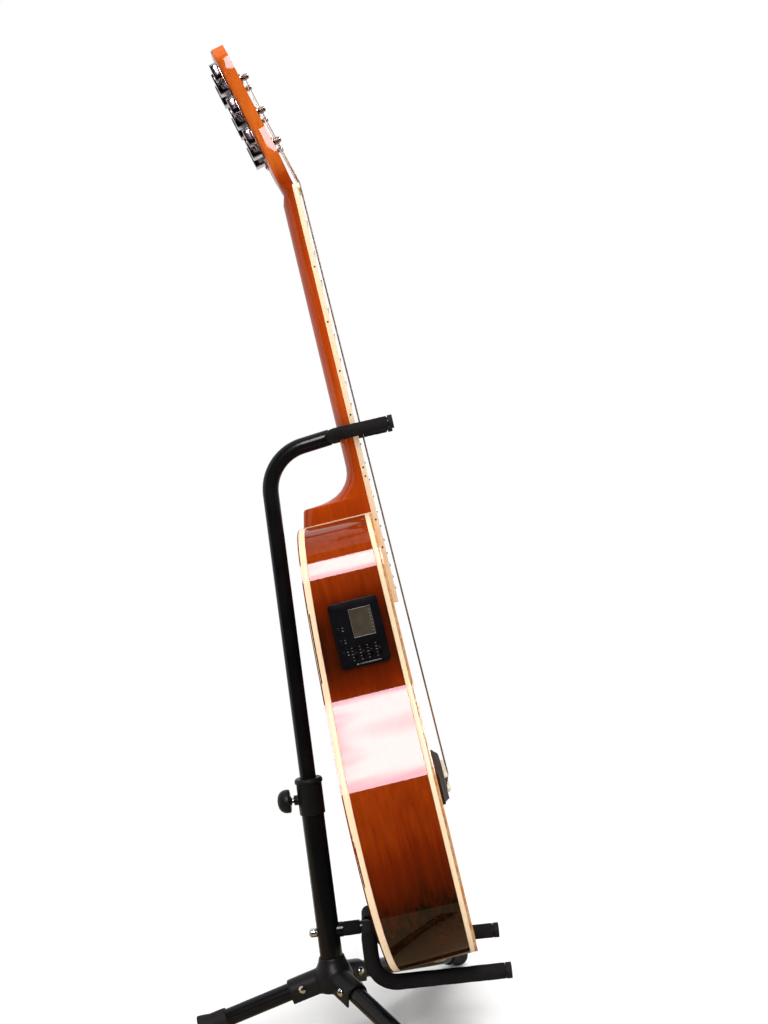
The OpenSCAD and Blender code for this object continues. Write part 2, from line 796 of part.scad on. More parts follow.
// Neck: shaft, deep heel, tenon and tilted headstock
module neck() {
    color("#b5561c") difference() {
        union() {
            at_guitar() {
                hull() {
                    translate([0, nut_y + nut_t - 3, 0]) neck_slice(nut_w, neck_t_nut);
                    translate([0, joint_y + 45, 0]) neck_slice(board_w(joint_y + 45), neck_t_heel);
                }
                intersection() {
                    hull() {
                        translate([0, joint_y, -heel_depth]) heel_plan(14, heel_len);
                        translate([0, joint_y, -12]) heel_plan(board_w(joint_y) / 2, heel_len + heel_r + 8);
                        translate([0, joint_y, -1]) heel_plan(board_w(joint_y) / 2, heel_len + heel_r + 8);
                    }
                    rotate([0, 90, 0]) linear_extrude(80, center = true) heel_side();
                }
                neck_tenon();
            }
            at_head() translate([0, 0, -head_t]) linear_extrude(head_t) head_shape();
            volute();
        }
        at_guitar() translate([-3.1, joint_y + 1, -9]) cube([6.2, nut_y - joint_y - 12, 10]);
        at_head() for (i = [0:5]) translate([post_side(i) * post_x, post_ys[post_row(i)], -40])
            cylinder(r = bush_r, h = 60);
        at_guitar() translate([-40, nut_y - 20, 0]) cube([80, 20 + nut_t, 30]);
    }
}

// Plan of the heel at one depth: flat at the body, round towards the neck
module heel_plan(half_w, reach) {
    linear_extrude(1) polygon(concat([[-half_w, 0]],
        [for (a = [180:-9:0]) [half_w * cos(a), reach * (0.35 + 0.65 * sin(a))]], [[half_w, 0]]));
}

// Side view of the heel, in X = depth below the fretboard and Y = up the neck
module heel_side() {
    difference() {
        polygon([[0, joint_y], [heel_depth, joint_y],
            [heel_depth - (heel_len + 8) * sin(heel_rake) * 3.2, joint_y + heel_len + 8],
            [heel_depth - heel_r, joint_y + heel_len + heel_r + 8], [0, joint_y + heel_len + heel_r + 8]]);
        translate([neck_t_heel + heel_r, joint_y + heel_len + heel_r]) circle(r = heel_r, $fn = 96);
        translate([neck_t_heel, joint_y + heel_len + heel_r]) square([depth_neck, 20]);
        translate([neck_t_heel + heel_r, joint_y + heel_len]) square([depth_neck, heel_r + 10]);
    }
}

// Headstock outline
module head_shape() {
    half = half_outline(head_curves, 0);
    polygon(concat(half, mirrored([for (i = [0:len(half) - 2]) half[i]])));
}

// Thickened stretch where the shaft turns into the headstock
module volute() {
    hull() {
        at_guitar() translate([0, nut_y - 14, 0]) neck_slice(nut_w - 1, neck_t_nut);
        at_head() translate([-nut_w / 2, 10, -head_t]) cube([nut_w, 6, head_t - 1]);
    }
}

// Steel truss rod in its channel
module truss_rod() {
    color("#8a8a8a") at_guitar() translate([0, joint_y + 2, -5.8]) rotate([-90, 0, 0])
        cylinder(r = 3, h = nut_y - joint_y - 14);
}

// Tuning machines ------------------------------------------------------------

// Tuners 1 to 3 are on the bass side from the nut up, 4 to 6 on the treble side
function post_side(i) = i < 3 ? -1 : 1;
function post_row(i) = i % 3;

module at_tuner(i) {
    at_head() translate([post_side(i) * post_x, post_ys[post_row(i)], 0])
        mirror([post_side(i) < 0 ? 1 : 0, 0, 0]) children();
}

// Six gear cases with base plates, and the bushings on the face
module tuner_housings() {
    color("#d0d0d2") for (i = [0:5]) at_tuner(i) {
        difference() {
            union() {
                translate([0, 4, -head_t - 1.2]) round_plate(17, 35, 1.2, 3);
                translate([0, 5, -head_t - case_t]) round_plate(16, 25, case_t, 3);
            }
            translate([0, 0, -40]) cylinder(r = post_bore_r, h = 60);
            translate([0, 0, gear_z - 2.3]) cylinder(r = gear_r + 0.5, h = 4.6);
            translate([-5.6, worm_offset - worm_r - 0.5, gear_z - worm_r - 0.4])
                cube([11.2, 2 * worm_r + 1, 2 * worm_r + 0.8]);
            translate([0, worm_offset, gear_z]) rotate([0, 90, 0]) cylinder(r = 1.8, h = 30);
        }
        difference() {
            union() {
                translate([0, 0, -head_t]) cylinder(r = bush_r, h = head_t + 1);
                cylinder(r = 6, h = 1.6);
            }
            translate([0, 0, -head_t - 1]) cylinder(r = post_bore_r, h = head_t + 10);
        }
    }
}

// String post with its gear wheel
module string_post(i) {
    color("#d8d8da") at_tuner(i) difference() {
        rotate_extrude() polygon([[0, gear_z - 1.8], [gear_r, gear_z - 1.8], [gear_r, gear_z + 1.8],
            [post_r, gear_z + 1.8], [post_r, 3], [2.5, 4.5], [2.5, 7], [post_r, 8],
            [post_r, post_top - 0.6], [post_r - 0.8, post_top], [0, post_top]]);
        translate([0, 0, 5.6]) rotate([0, 90, 0]) cylinder(r = 0.9, h = 20, center = true);
    }
}

// Tuner button with its worm shaft
module tuner_button(i) {
    color("#dcdcde") at_tuner(i) translate([0, worm_offset, gear_z]) {
        translate([-5, 0, 0]) rotate([0, 90, 0]) cylinder(r = worm_r, h = 10);
        rotate([0, 90, 0]) cylinder(r = 1.75, h = button_x - post_x + 2);
        translate([button_x - post_x - 4, 0, 0]) rotate([0, 90, 0]) cylinder(r = 3, h = 5);
        translate([button_x - post_x + 7, 0, -4]) linear_extrude(8) {
            translate([0, 4]) circle(r = 6.4);
            translate([0, -4]) circle(r = 6.4);
            translate([-6.4, -4]) square([12.8, 8]);
        }
    }
}

// Electrics ------------------------------------------------------------------

// End pin jack: strap button outside, quarter-inch socket inside
module end_pin_jack() {
    color("#c9c9cb") at_guitar() translate([0, 0, -jack_depth]) rotate([90, 0, 0]) difference() {
        rotate_extrude() polygon([[0, -40], [6, -40], [6, 0.2], [8.5, 0.2], [8.5, 2], [6.2, 4], [6.2, 9],
            [8.8, 11], [8.8, 13], [7.5, 14], [0, 14]]);
        translate([0, 0, -34]) cylinder(r = jack_r, h = 60);
    }
}

// Preamp panel with its box inside the body
module preamp_housing() {
    color("#0c0c0e") at_panel() difference() {
        union() {
            translate([0, 0, gap]) round_plate(panel_w, panel_h, panel_t, 4);
            translate([-(panel_w - 7) / 2, -(panel_h - 7) / 2, -26])
                cube([panel_w - 7, panel_h - 7, 26 + gap]);
        }
        translate([-(panel_w - 11) / 2, -(panel_h - 11) / 2, -24])
            cube([panel_w - 11, panel_h - 11, 24]);
        translate([0, 0, -1]) screen_block(10);
        for (x = slider_xs) translate([x - slot_w / 2, slider_y - slot_len / 2, -1])
            cube([slot_w, slot_len, 10]);
        for (y = button_ys) translate([button_at - 2.3, y - 4.3, -6]) cube([4.6, 8.6, 16]);
    }
}

// Display window of the tuner
module preamp_screen() {
    color("#3a3026") at_panel() screen_block(panel_t + gap - 0.2);
}

// Block with the outline of the display
module screen_block(h) {
    translate([screen_at[0], screen_at[1], h / 2]) cube([screen_size[0], screen_size[1], h], center = true);
}

// Slider cap with the tongue that runs in its slot
module preamp_slider(i) {
    color("#2a2a2c") at_panel() translate([slider_xs[i], slider_y, 0]) {
        translate([-0.6, -2, -3]) cube([1.2, 4, 7]);
        translate([-1.8, -2, panel_t + gap + 0.15]) cube([3.6, 4, 2.4]);
    }
}

// Push button of the preamp
module preamp_button(i) {
    color("#242426") at_panel() translate([button_at - 2.1, button_ys[i] - 4.1, -3]) cube([4.2, 8.2, 7.5]);
}

hub();
lower_tube();
tube_collar();
clamp_knob();
cradle_bolt();
cradle_stem();
cradle_tube();
cradle_foam();
cradle_caps();
leg_bolts();
leg(180);  // leg_rear
leg(60);  // leg_left
leg(-60);  // leg_right
foot(180);  // foot_rear
foot(60);  // foot_left
foot(-60);  // foot_right
upper_tube();
tube_glide();
yoke_tube();
yoke_foam();
yoke_caps();
soundboard();
back_plate();
sides();
body_binding();
blocks_and_linings();
braces();
bridge();
saddle();
bridge_pins();
strings();
nut();
fretboard();
fretboard_binding();
frets();
neck();
truss_rod();
tuner_housings();
end_pin_jack();
preamp_housing();
preamp_screen();
preamp_slider(0);  // preamp_slider_1
preamp_slider(1);  // preamp_slider_2
preamp_slider(2);  // preamp_slider_3
preamp_slider(3);  // preamp_slider_4
preamp_button(0);  // preamp_button_1
preamp_button(1);  // preamp_button_2
preamp_button(2);  // preamp_button_3
tuner_button(0);  // tuner_button_1
tuner_button(1);  // tuner_button_2
tuner_button(2);  // tuner_button_3
tuner_button(3);  // tuner_button_4
tuner_button(4);  // tuner_button_5
tuner_button(5);  // tuner_button_6
string_post(0);  // string_post_1
string_post(1);  // string_post_2
string_post(2);  // string_post_3
string_post(3);  // string_post_4
string_post(4);  // string_post_5
string_post(5);  // string_post_6
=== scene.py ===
import json
import math
import bpy
from mathutils import Matrix, Vector

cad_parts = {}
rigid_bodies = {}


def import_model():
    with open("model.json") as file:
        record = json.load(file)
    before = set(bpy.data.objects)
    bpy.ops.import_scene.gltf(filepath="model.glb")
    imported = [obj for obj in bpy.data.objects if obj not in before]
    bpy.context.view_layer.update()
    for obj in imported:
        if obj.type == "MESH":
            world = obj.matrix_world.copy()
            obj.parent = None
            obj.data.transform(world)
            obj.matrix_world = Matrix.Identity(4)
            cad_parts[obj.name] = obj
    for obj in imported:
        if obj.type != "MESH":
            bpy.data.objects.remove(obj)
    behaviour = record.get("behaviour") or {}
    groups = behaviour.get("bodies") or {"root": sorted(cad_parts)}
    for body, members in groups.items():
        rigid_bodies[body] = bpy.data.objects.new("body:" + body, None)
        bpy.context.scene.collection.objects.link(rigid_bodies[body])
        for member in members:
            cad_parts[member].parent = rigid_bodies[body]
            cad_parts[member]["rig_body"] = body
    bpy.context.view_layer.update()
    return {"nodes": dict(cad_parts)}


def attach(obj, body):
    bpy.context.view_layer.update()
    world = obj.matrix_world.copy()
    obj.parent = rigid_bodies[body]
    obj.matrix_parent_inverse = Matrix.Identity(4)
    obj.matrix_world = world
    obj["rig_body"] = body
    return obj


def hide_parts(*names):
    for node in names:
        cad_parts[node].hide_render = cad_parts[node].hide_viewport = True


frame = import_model()

# Camera
# A long lens set level beside the guitar, looking at its bass side from
# about a metre and a half away, at half its height.
lens = bpy.data.cameras.new("Camera")
lens.lens = 51.0
lens.sensor_width = 36.0
camera = bpy.data.objects.new("Camera", lens)
bpy.context.scene.collection.objects.link(camera)
camera.location = (0.0097, -1.6065, 0.5977)
aim = Matrix.Rotation(-0.0172, 3, "Z") @ Matrix.Rotation(math.radians(90) - 0.0086, 3, "X")
camera.rotation_euler = (aim @ Matrix.Rotation(-0.0022, 3, "Z")).to_euler()
bpy.context.scene.camera = camera
bpy.context.scene.view_settings.view_transform = "Standard"


# Floor and studio light
# A pale seamless floor that keeps the shadow near the object, an even white
# surround, soft lamps for form, and one tall softbox that shows in the gloss.
class Wire:
    """A shader socket that can be used in sums, and that can make further nodes."""

    def __init__(self, tree, socket=None):
        self.tree = tree
        self.socket = socket

    def node(self, kind, settings=None, inputs=None, out=0):
        made = self.tree.nodes.new(kind)
        for key, value in (settings or {}).items():
            if key == "stops":
                ramp = made.color_ramp.elements
                while len(ramp) < len(value):
                    ramp.new(0.5)
                for stop, (place, tone) in zip(ramp, value):
                    stop.position = place
                    stop.color = tone
            else:
                setattr(made, key, value)
        for key, value in (inputs or {}).items():
            if isinstance(value, Wire):
                self.tree.links.new(value.socket, made.inputs[key])
            else:
                made.inputs[key].default_value = value
        return Wire(self.tree, made.outputs[out])

    def math(self, operation, first, second):
        return self.node("ShaderNodeMath", {"operation": operation}, {0: first, 1: second})

    def __add__(self, other):
        return self.math("ADD", self, other)

    def __radd__(self, other):
        return self.math("ADD", other, self)

    def __sub__(self, other):
        return self.math("SUBTRACT", self, other)

    def __rsub__(self, other):
        return self.math("SUBTRACT", other, self)

    def __mul__(self, other):
        return self.math("MULTIPLY", self, other)

    def __rmul__(self, other):
        return self.math("MULTIPLY", other, self)

    def mix(self, low, high):
        """A colour between low and high, by this wire's value."""
        return self.node("ShaderNodeMix", {"data_type": "RGBA"}, {0: self, 6: low, 7: high}, out=2)

    def into(self, shader, name):
        self.tree.links.new(self.socket, shader.inputs[name])


def finish(name, **sockets):
    """A new material, its principled shader with the settings given, and a wire to build on."""
    made = bpy.data.materials.new(name)
    made.use_nodes = True
    shader = made.node_tree.nodes["Principled BSDF"]
    for key, value in sockets.items():
        shader.inputs[key.replace("_", " ")].default_value = value
    return made, shader, Wire(made.node_tree)


def clear_selection():
    if bpy.context.object and bpy.context.object.mode != "OBJECT":
        bpy.ops.object.mode_set(mode="OBJECT")
    bpy.ops.object.select_all(action="DESELECT")


clear_selection()
bpy.ops.mesh.primitive_plane_add(size=40, location=(0, 0, -0.0004))
floor = bpy.context.object
floor.name = "studio_floor"
paper, shader, wire = finish("pale_paper", Roughness=0.95)
place = wire.node("ShaderNodeTexCoord", out=3)
fibres = wire.node("ShaderNodeTexNoise", inputs={"Vector": place, "Scale": 40.0})
fibres.mix((0.90, 0.90, 0.90, 1), (0.93, 0.93, 0.93, 1)).into(shader, "Base Color")
away = wire.node("ShaderNodeVectorMath", {"operation": "LENGTH"}, {0: place}, out=1)
fade = wire.node("ShaderNodeMapRange", {"interpolation_type": "SMOOTHSTEP"}, {0: away, 1: 0.35, 2: 1.1})
camera_ray = wire.node("ShaderNodeLightPath", out=0)
glossy_ray = wire.node("ShaderNodeLightPath", out=3)
through_ray = wire.node("ShaderNodeLightPath", out=6)
seen = wire.math("MINIMUM", camera_ray + glossy_ray + through_ray, 1.0)
glow = wire.node("ShaderNodeEmission", inputs={"Color": (1, 1, 1, 1), "Strength": 1.0})
blend = paper.node_tree.nodes.new("ShaderNodeMixShader")
paper.node_tree.links.new((fade * seen).socket, blend.inputs[0])
paper.node_tree.links.new(shader.outputs[0], blend.inputs[1])
paper.node_tree.links.new(glow.socket, blend.inputs[2])
paper.node_tree.links.new(blend.outputs[0], paper.node_tree.nodes["Material Output"].inputs[0])
floor.data.materials.append(paper)

world = bpy.data.worlds.new("Studio")
bpy.context.scene.world = world
world.use_nodes = True
wire = Wire(world.node_tree)
seen = wire.math("MINIMUM", wire.node("ShaderNodeLightPath", out=0) + wire.node("ShaderNodeLightPath", out=3)
                 + wire.node("ShaderNodeLightPath", out=6), 1.0)
surround = world.node_tree.nodes["Background"]
surround.inputs["Color"].default_value = (1, 1, 1, 1)
world.node_tree.links.new((0.45 + 0.55 * seen).socket, surround.inputs["Strength"])


def lamp(name, place, target, width, height, power, tint=(1, 1, 1)):
    light = bpy.data.lights.new(name, "AREA")
    light.shape = "RECTANGLE"
    light.size = width
    light.size_y = height
    light.energy = power
    light.color = tint
    made = bpy.data.objects.new(name, light)
    bpy.context.scene.collection.objects.link(made)
    made.location = place
    made.rotation_euler = (Vector(target) - Vector(place)).to_track_quat("-Z", "Y").to_euler()
    return made


for soft in (lamp("Overhead", (-0.3, -0.6, 3.0), (0, 0, 0.3), 2.2, 2.0, 70),
             lamp("Key", (0.2, -2.3, 2.1), (0, 0, 0.5), 1.5, 1.5, 44),
             lamp("Back_fill", (-0.6, 2.2, 1.8), (0, 0, 0.5), 1.5, 1.5, 22)):
    soft.visible_glossy = False
clear_selection()
bpy.ops.mesh.primitive_plane_add(size=1)
softbox = bpy.context.object
softbox.name = "Softbox"
softbox.matrix_world = (Matrix.Translation((-1.50, -8.0, 7.12))
                        @ Matrix.Rotation(math.radians(-13.5), 4, "Y")
                        @ Matrix.Rotation(math.radians(90), 4, "X") @ Matrix.Diagonal((1.85, 6.9, 1, 1)))
silk, shader, wire = finish("softbox_silk")
place = wire.node("ShaderNodeTexCoord", out=3)
folds = wire.node("ShaderNodeTexNoise",
                  inputs={"Vector": place, "Scale": 2.2, "Detail": 1.0, "Distortion": 1.5})
across = wire.node("ShaderNodeSeparateXYZ", inputs={0: place}, out=0)
along = wire.node("ShaderNodeSeparateXYZ", inputs={0: place}, out=1)
rim = wire.math("MAXIMUM", wire.math("ABSOLUTE", across, 0.0), wire.math("ABSOLUTE", along, 0.0))
edge = wire.node("ShaderNodeMapRange", {"interpolation_type": "SMOOTHSTEP"},
                 {0: rim + 0.3 * folds, 1: 0.40, 2: 0.64})
pink_rim = edge.mix((1, 1, 1, 1), (0.83, 0.56, 0.66, 1))
glow = wire.node("ShaderNodeEmission", inputs={"Color": pink_rim, "Strength": 45.0})
silk.node_tree.links.new(glow.socket, silk.node_tree.nodes["Material Output"].inputs[0])
softbox.data.materials.append(silk)
softbox.visible_camera = False
softbox.visible_diffuse = False
softbox.visible_transmission = False
softbox.visible_shadow = False
dark, shader, wire = finish("dark_room", Roughness=1.0, Specular_IOR_Level=0.0)
place = wire.node("ShaderNodeTexCoord", out=3)
drape = wire.node("ShaderNodeTexNoise", inputs={"Vector": place, "Scale": 0.4})
drape.mix((0.004, 0.004, 0.003, 1), (0.012, 0.011, 0.008, 1)).into(shader, "Base Color")
tan, shader, wire = finish("tan_boards", Roughness=0.9, Specular_IOR_Level=0.0)
place = wire.node("ShaderNodeTexCoord", out=3)
boards = wire.node("ShaderNodeTexNoise", inputs={"Vector": place, "Scale": 3.0})
boards.mix((0.36, 0.27, 0.15, 1), (0.52, 0.39, 0.22, 1)).into(shader, "Base Color")
for name, size, middle, turn, look in (("Dark_wall", (50, 30), (0, -9.0, 14.0), 90, dark),
                                       ("Dark_carpet", (24, 8.67), (0, -4.665, 0.0004), 0, dark),
                                       ("Tan_boards", (1.6, 0.55), (0, -0.055, 0.0002), 0, tan)):
    clear_selection()
    bpy.ops.mesh.primitive_plane_add(size=1, location=middle, rotation=(math.radians(turn), 0, 0))
    flag = bpy.context.object
    flag.name = name
    flag.scale = (size[0], size[1], 1)
    flag.data.materials.append(look)
    flag.visible_camera = False
    flag.visible_diffuse = False
    flag.visible_transmission = False
    flag.visible_shadow = False


# Painted steel tubes
# Lower tube, upper tube, stem, bent rods and legs: drawn steel tube, bent
# cold and enamelled a deep glossy black that shows faint drawing lines.
enamel, shader, wire = finish("black_enamel", Specular_IOR_Level=0.14)
place = wire.node("ShaderNodeTexCoord", out=3)
skin = wire.node("ShaderNodeTexNoise", inputs={"Vector": place, "Scale": 700.0, "Detail": 2.0})
rub = wire.node("ShaderNodeTexNoise", inputs={"Vector": place, "Scale": 24.0, "Detail": 6.0})
rub.mix((0.002, 0.002, 0.0022, 1), (0.0075, 0.0072, 0.0075, 1)).into(shader, "Base Color")
(0.10 + 0.16 * rub).into(shader, "Roughness")
relief = wire.node("ShaderNodeBump", inputs={"Strength": 0.10, "Distance": 0.0002, "Height": skin})
relief.into(shader, "Normal")


def dress(node, material, slot, crease=32, rounding=0.0, name=None):
    """A welded, smooth-shaded copy of a solid that carries the finish and stands for it."""
    clear_selection()
    source = frame["nodes"][node]
    piece = source.copy()
    piece.data = source.data.copy()
    piece.parent = None
    for key in list(piece.keys()):
        del piece[key]
    piece.name = name or node + "_finished"
    bpy.context.scene.collection.objects.link(piece)
    piece.select_set(True)
    bpy.context.view_layer.objects.active = piece
    bpy.ops.object.mode_set(mode="EDIT")
    bpy.ops.mesh.select_all(action="SELECT")
    bpy.ops.mesh.remove_doubles(threshold=0.000004)
    bpy.ops.object.mode_set(mode="OBJECT")
    bpy.ops.mesh.customdata_custom_splitnormals_clear()
    if rounding:
        soft = piece.modifiers.new("Rounding", "BEVEL")
        soft.width = rounding
        soft.segments = 2
        soft.limit_method = "ANGLE"
        soft.angle_limit = math.radians(38)
        bpy.ops.object.modifier_apply(modifier=soft.name)
    bpy.ops.object.shade_smooth_by_angle(angle=math.radians(crease))
    return settle(piece, material, slot, source["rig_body"], node)


def settle(piece, material, slot, body, *stands_for):
    """Gives a finished piece its material, the body it moves with and what it replaces; the slot is not used.
    """
    piece.data.materials.clear()
    piece.data.materials.append(material)
    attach(piece, body)
    if stands_for:
        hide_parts(*stands_for)
    return piece


for part in ("lower_tube", "upper_tube", "cradle_stem", "leg_rear", "leg_left", "leg_right",
             "cradle_tube", "yoke_tube"):
    dress(part, enamel, "black_steel")

# Moulded hub, collar and glide
# Glass-filled nylon, black, with the fine sparkle grain of a moulded part
# and soft mould edges.
nylon, shader, wire = finish("moulded_nylon", Specular_IOR_Level=0.12)
place = wire.node("ShaderNodeTexCoord", out=3)
grain = wire.node("ShaderNodeTexNoise", inputs={"Vector": place, "Scale": 1400.0, "Detail": 1.0})
cloud = wire.node("ShaderNodeTexNoise", inputs={"Vector": place, "Scale": 20.0, "Detail": 4.0})
cloud.mix((0.004, 0.004, 0.004, 1), (0.012, 0.0115, 0.011, 1)).into(shader, "Base Color")
(0.26 + 0.26 * cloud).into(shader, "Roughness")
relief = wire.node("ShaderNodeBump", inputs={"Strength": 0.25, "Distance": 0.0002, "Height": grain})
relief.into(shader, "Normal")
hub = dress("hub", nylon, "hub_plastic")
blend = hub.modifiers.new("Mould_skin", "REMESH")
blend.mode = "VOXEL"
blend.voxel_size = 0.0011
fair = hub.modifiers.new("Fairing", "SMOOTH")
fair.factor = 0.7
fair.iterations = 9
for step in ("Mould_skin", "Fairing"):
    bpy.ops.object.modifier_apply(modifier=step)
bpy.ops.object.shade_smooth()
for part in ("tube_collar", "tube_glide"):
    dress(part, nylon, "hub_plastic", rounding=0.0004)

# Foam sleeves
# Closed-cell foam pushed over the bent rods: matt, finely pitted, and never
# quite even along its length.
foam, shader, wire = finish("foam_sleeve", Specular_IOR_Level=0.03)
place = wire.node("ShaderNodeTexCoord", out=3)
cells = wire.node("ShaderNodeTexVoronoi", inputs={"Vector": place, "Scale": 800.0})
worn = wire.node("ShaderNodeTexNoise", inputs={"Vector": place, "Scale": 45.0, "Detail": 5.0})
worn.mix((0.004, 0.004, 0.004, 1), (0.017, 0.0155, 0.0155, 1)).into(shader, "Base Color")
(0.62 + 0.25 * worn).into(shader, "Roughness")
relief = wire.node("ShaderNodeBump", inputs={"Strength": 0.5, "Distance": 0.0005, "Height": cells})
relief.into(shader, "Normal")
for part in ("cradle_foam", "yoke_foam"):
    sleeve = dress(part, foam, "foam")
    remesh = sleeve.modifiers.new("Even_skin", "REMESH")
    remesh.mode = "VOXEL"
    remesh.voxel_size = 0.0016
    lumps = bpy.data.textures.new(part + "_lumps", "CLOUDS")
    lumps.noise_scale = 0.014
    swell = sleeve.modifiers.new("Lumps", "DISPLACE")
    swell.texture = lumps
    swell.texture_coords = "LOCAL"
    swell.strength = 0.0009
    swell.mid_level = 0.62
    relax = sleeve.modifiers.new("Relax", "SMOOTH")
    relax.iterations = 3
    for step in ("Even_skin", "Lumps", "Relax"):
        bpy.ops.object.modifier_apply(modifier=step)
    bpy.ops.object.shade_smooth()

# Rubber feet and end caps
# Moulded black rubber with a dusty bloom, pressed on to the tube ends.
rubber, shader, wire = finish("dusty_rubber", Specular_IOR_Level=0.08)
place = wire.node("ShaderNodeTexCoord", out=3)
dust = wire.node("ShaderNodeTexNoise", inputs={"Vector": place, "Scale": 60.0, "Detail": 6.0})
dust.mix((0.005, 0.005, 0.005, 1), (0.02, 0.019, 0.018, 1)).into(shader, "Base Color")
(0.5 + 0.3 * dust).into(shader, "Roughness")
for part in ("foot_rear", "foot_left", "foot_right", "cradle_caps", "yoke_caps"):
    dress(part, rubber, "rubber", rounding=0.0005)

# Bright bolts and jack
# Plated steel, turned and tumbled, with polishing haze and a little tarnish.
chrome, shader, wire = finish("bright_plate", Metallic=1.0)
place = wire.node("ShaderNodeTexCoord", out=3)
haze = wire.node("ShaderNodeTexNoise", inputs={"Vector": place, "Scale": 160.0, "Detail": 5.0})
haze.mix((0.46, 0.45, 0.44, 1), (0.70, 0.70, 0.71, 1)).into(shader, "Base Color")
(0.07 + 0.18 * haze).into(shader, "Roughness")
for part in ("cradle_bolt", "leg_bolts", "end_pin_jack"):
    dress(part, chrome, "bolts", rounding=0.0003)

# Clamp knob and its screw
# A hand knob moulded as a half dome with a flat back, on a bright screw with
# a rolled thread that runs through the boss of the collar.
MAST_LEAN = math.radians(7.3)
HUB = Vector((-0.0205791, 0, 0.0795))
mast = Matrix.Translation(HUB) @ Matrix.Rotation(-MAST_LEAN, 4, "Y")
KNOB_Z = 0.1887
knob_axis = mast @ Matrix.Translation((0, 0, KNOB_Z)) @ Matrix.Rotation(math.radians(90), 4, "Y")
dome = [(0, -0.0370), (0.0035, -0.0368), (0.0070, -0.0359), (0.0100, -0.0340), (0.0120, -0.0312),
        (0.0129, -0.0280), (0.0130, -0.0246), (0.0127, -0.0234), (0.0118, -0.0227), (0.0100, -0.0224),
        (0.0050, -0.0224), (0.0046, -0.0212), (0.0031, -0.0210), (0, -0.0210)]


def turned(name, profile, steps=48):
    """A piece turned about Z from pairs of radius and height."""
    clear_selection()
    bpy.ops.mesh.primitive_plane_add(size=1)
    made = bpy.context.object
    made.name = name
    made.data.clear_geometry()
    made.data.from_pydata([(radius, 0, height) for radius, height in profile],
                          [(i, i + 1) for i in range(len(profile) - 1)], [])
    bpy.ops.object.mode_set(mode="EDIT")
    bpy.ops.mesh.select_all(action="SELECT")
    bpy.ops.mesh.spin(steps=steps, angle=2 * math.pi, center=(0, 0, 0), axis=(0, 0, 1))
    bpy.ops.mesh.select_all(action="SELECT")
    bpy.ops.mesh.remove_doubles(threshold=0.00002)
    bpy.ops.mesh.normals_make_consistent(inside=False)
    bpy.ops.object.mode_set(mode="OBJECT")
    return made


knob = turned("clamp_knob_finished", dome)
knob.data.transform(knob_axis)
bpy.ops.object.shade_smooth_by_angle(angle=math.radians(50))
settle(knob, nylon, "hub_plastic", "clamp_knob", "clamp_knob")
THREAD_START = -0.0222
PITCH = 0.0006
thread = [(0, THREAD_START)]
for turn in range(22):
    root = THREAD_START + turn * PITCH
    thread += [(0.0027, root), (0.003, root + PITCH / 2)]
thread += [(0.0024, -0.0092), (0, -0.0092)]
screw = turned("clamp_screw", thread, 28)
screw.data.transform(knob_axis)
bpy.ops.object.shade_smooth_by_angle(angle=math.radians(30))
settle(screw, chrome, "bolts", "clamp_knob")

# Foam on the cradle stem
# A short length of the same foam, cut square and pushed over the stem as far
# as the rod of the cradle.
sleeve = turned("stem_foam", [(0.0066, 0.0150), (0.0073, 0.0151), (0.0078, 0.0158), (0.0078, 0.0200),
                              (0.0077, 0.0250), (0.0078, 0.0300), (0.0077, 0.0352), (0.0073, 0.0360),
                              (0.0066, 0.0361), (0.0066, 0.0150)], 40)
sleeve.data.transform(mast @ Matrix.Translation((0, 0, 0.04013)) @ Matrix.Rotation(math.radians(90), 4, "Y"))
bpy.ops.object.shade_smooth_by_angle(angle=math.radians(40))
settle(sleeve, foam, "foam", "stand")

# Guitar body: sides
# Two long plates of red-brown wood bent to the outline, with painted shade
# darker towards the tail and round the preamp, sprayed with a deep gloss.
LEAN = math.radians(13.5)
TAIL = Vector((0.1368209, 0.0, 0.1097))
BODY_LEN = 487.0
BINDING = 8.0
guitar = Matrix.Translation(TAIL) @ Matrix.Rotation(-LEAN, 4, "Y") @ Matrix(
    ((0, 0, 1, 0), (1, 0, 0, 0), (0, 1, 0, 0), (0, 0, 0, 1))) @ Matrix.Scale(0.001, 4)
half_knots = [((0, 0), None, (90, 0)), ((195, 135), (195, 43), (195, 266)),
              ((140, 332), (140, 276), (140, 352)), ((144, 404), (144, 378), (144, 474)),
              ((32, 487), (112, 487), (10, 487))]


def body_depth(y):
    return 91 - 10 * y / BODY_LEN + 36 * y * (BODY_LEN - y) / BODY_LEN ** 2


def body_outline(name):
    """The body's outline as a ring of edges, drawn flat with the tail at the origin."""
    clear_selection()
    bpy.ops.curve.primitive_bezier_circle_add()
    ring = bpy.context.object
    knots = [((0, 0), (-90, 0), (90, 0))] + half_knots[1:]
    knots += [((-at[0], at[1]), (-after[0], after[1]), (-before[0], before[1]))
              for at, before, after in reversed(half_knots[1:])]
    line = ring.data.splines[0]
    line.bezier_points.add(len(knots) - len(line.bezier_points))
    for point, (at, before, after) in zip(line.bezier_points, knots):
        point.handle_left_type = "FREE"
        point.handle_right_type = "FREE"
        point.co = (at[0], at[1], 0)
        point.handle_left = (before[0], before[1], 0)
        point.handle_right = (after[0], after[1], 0)
    line.resolution_u = 36
    ring.data.resolution_u = 36
    ring.data.dimensions = "2D"
    ring.data.fill_mode = "NONE"
    bpy.ops.object.convert(target="MESH")
    piece = bpy.context.object
    piece.name = name
    bpy.ops.object.mode_set(mode="EDIT")
    bpy.ops.mesh.select_all(action="SELECT")
    bpy.ops.mesh.remove_doubles(threshold=0.01)
    bpy.ops.object.mode_set(mode="OBJECT")
    return piece


def place_on_guitar(piece):
    """Moves a piece drawn in the guitar's own millimetres to its place."""
    piece.data.transform(guitar)
    piece.matrix_world = Matrix.Identity(4)


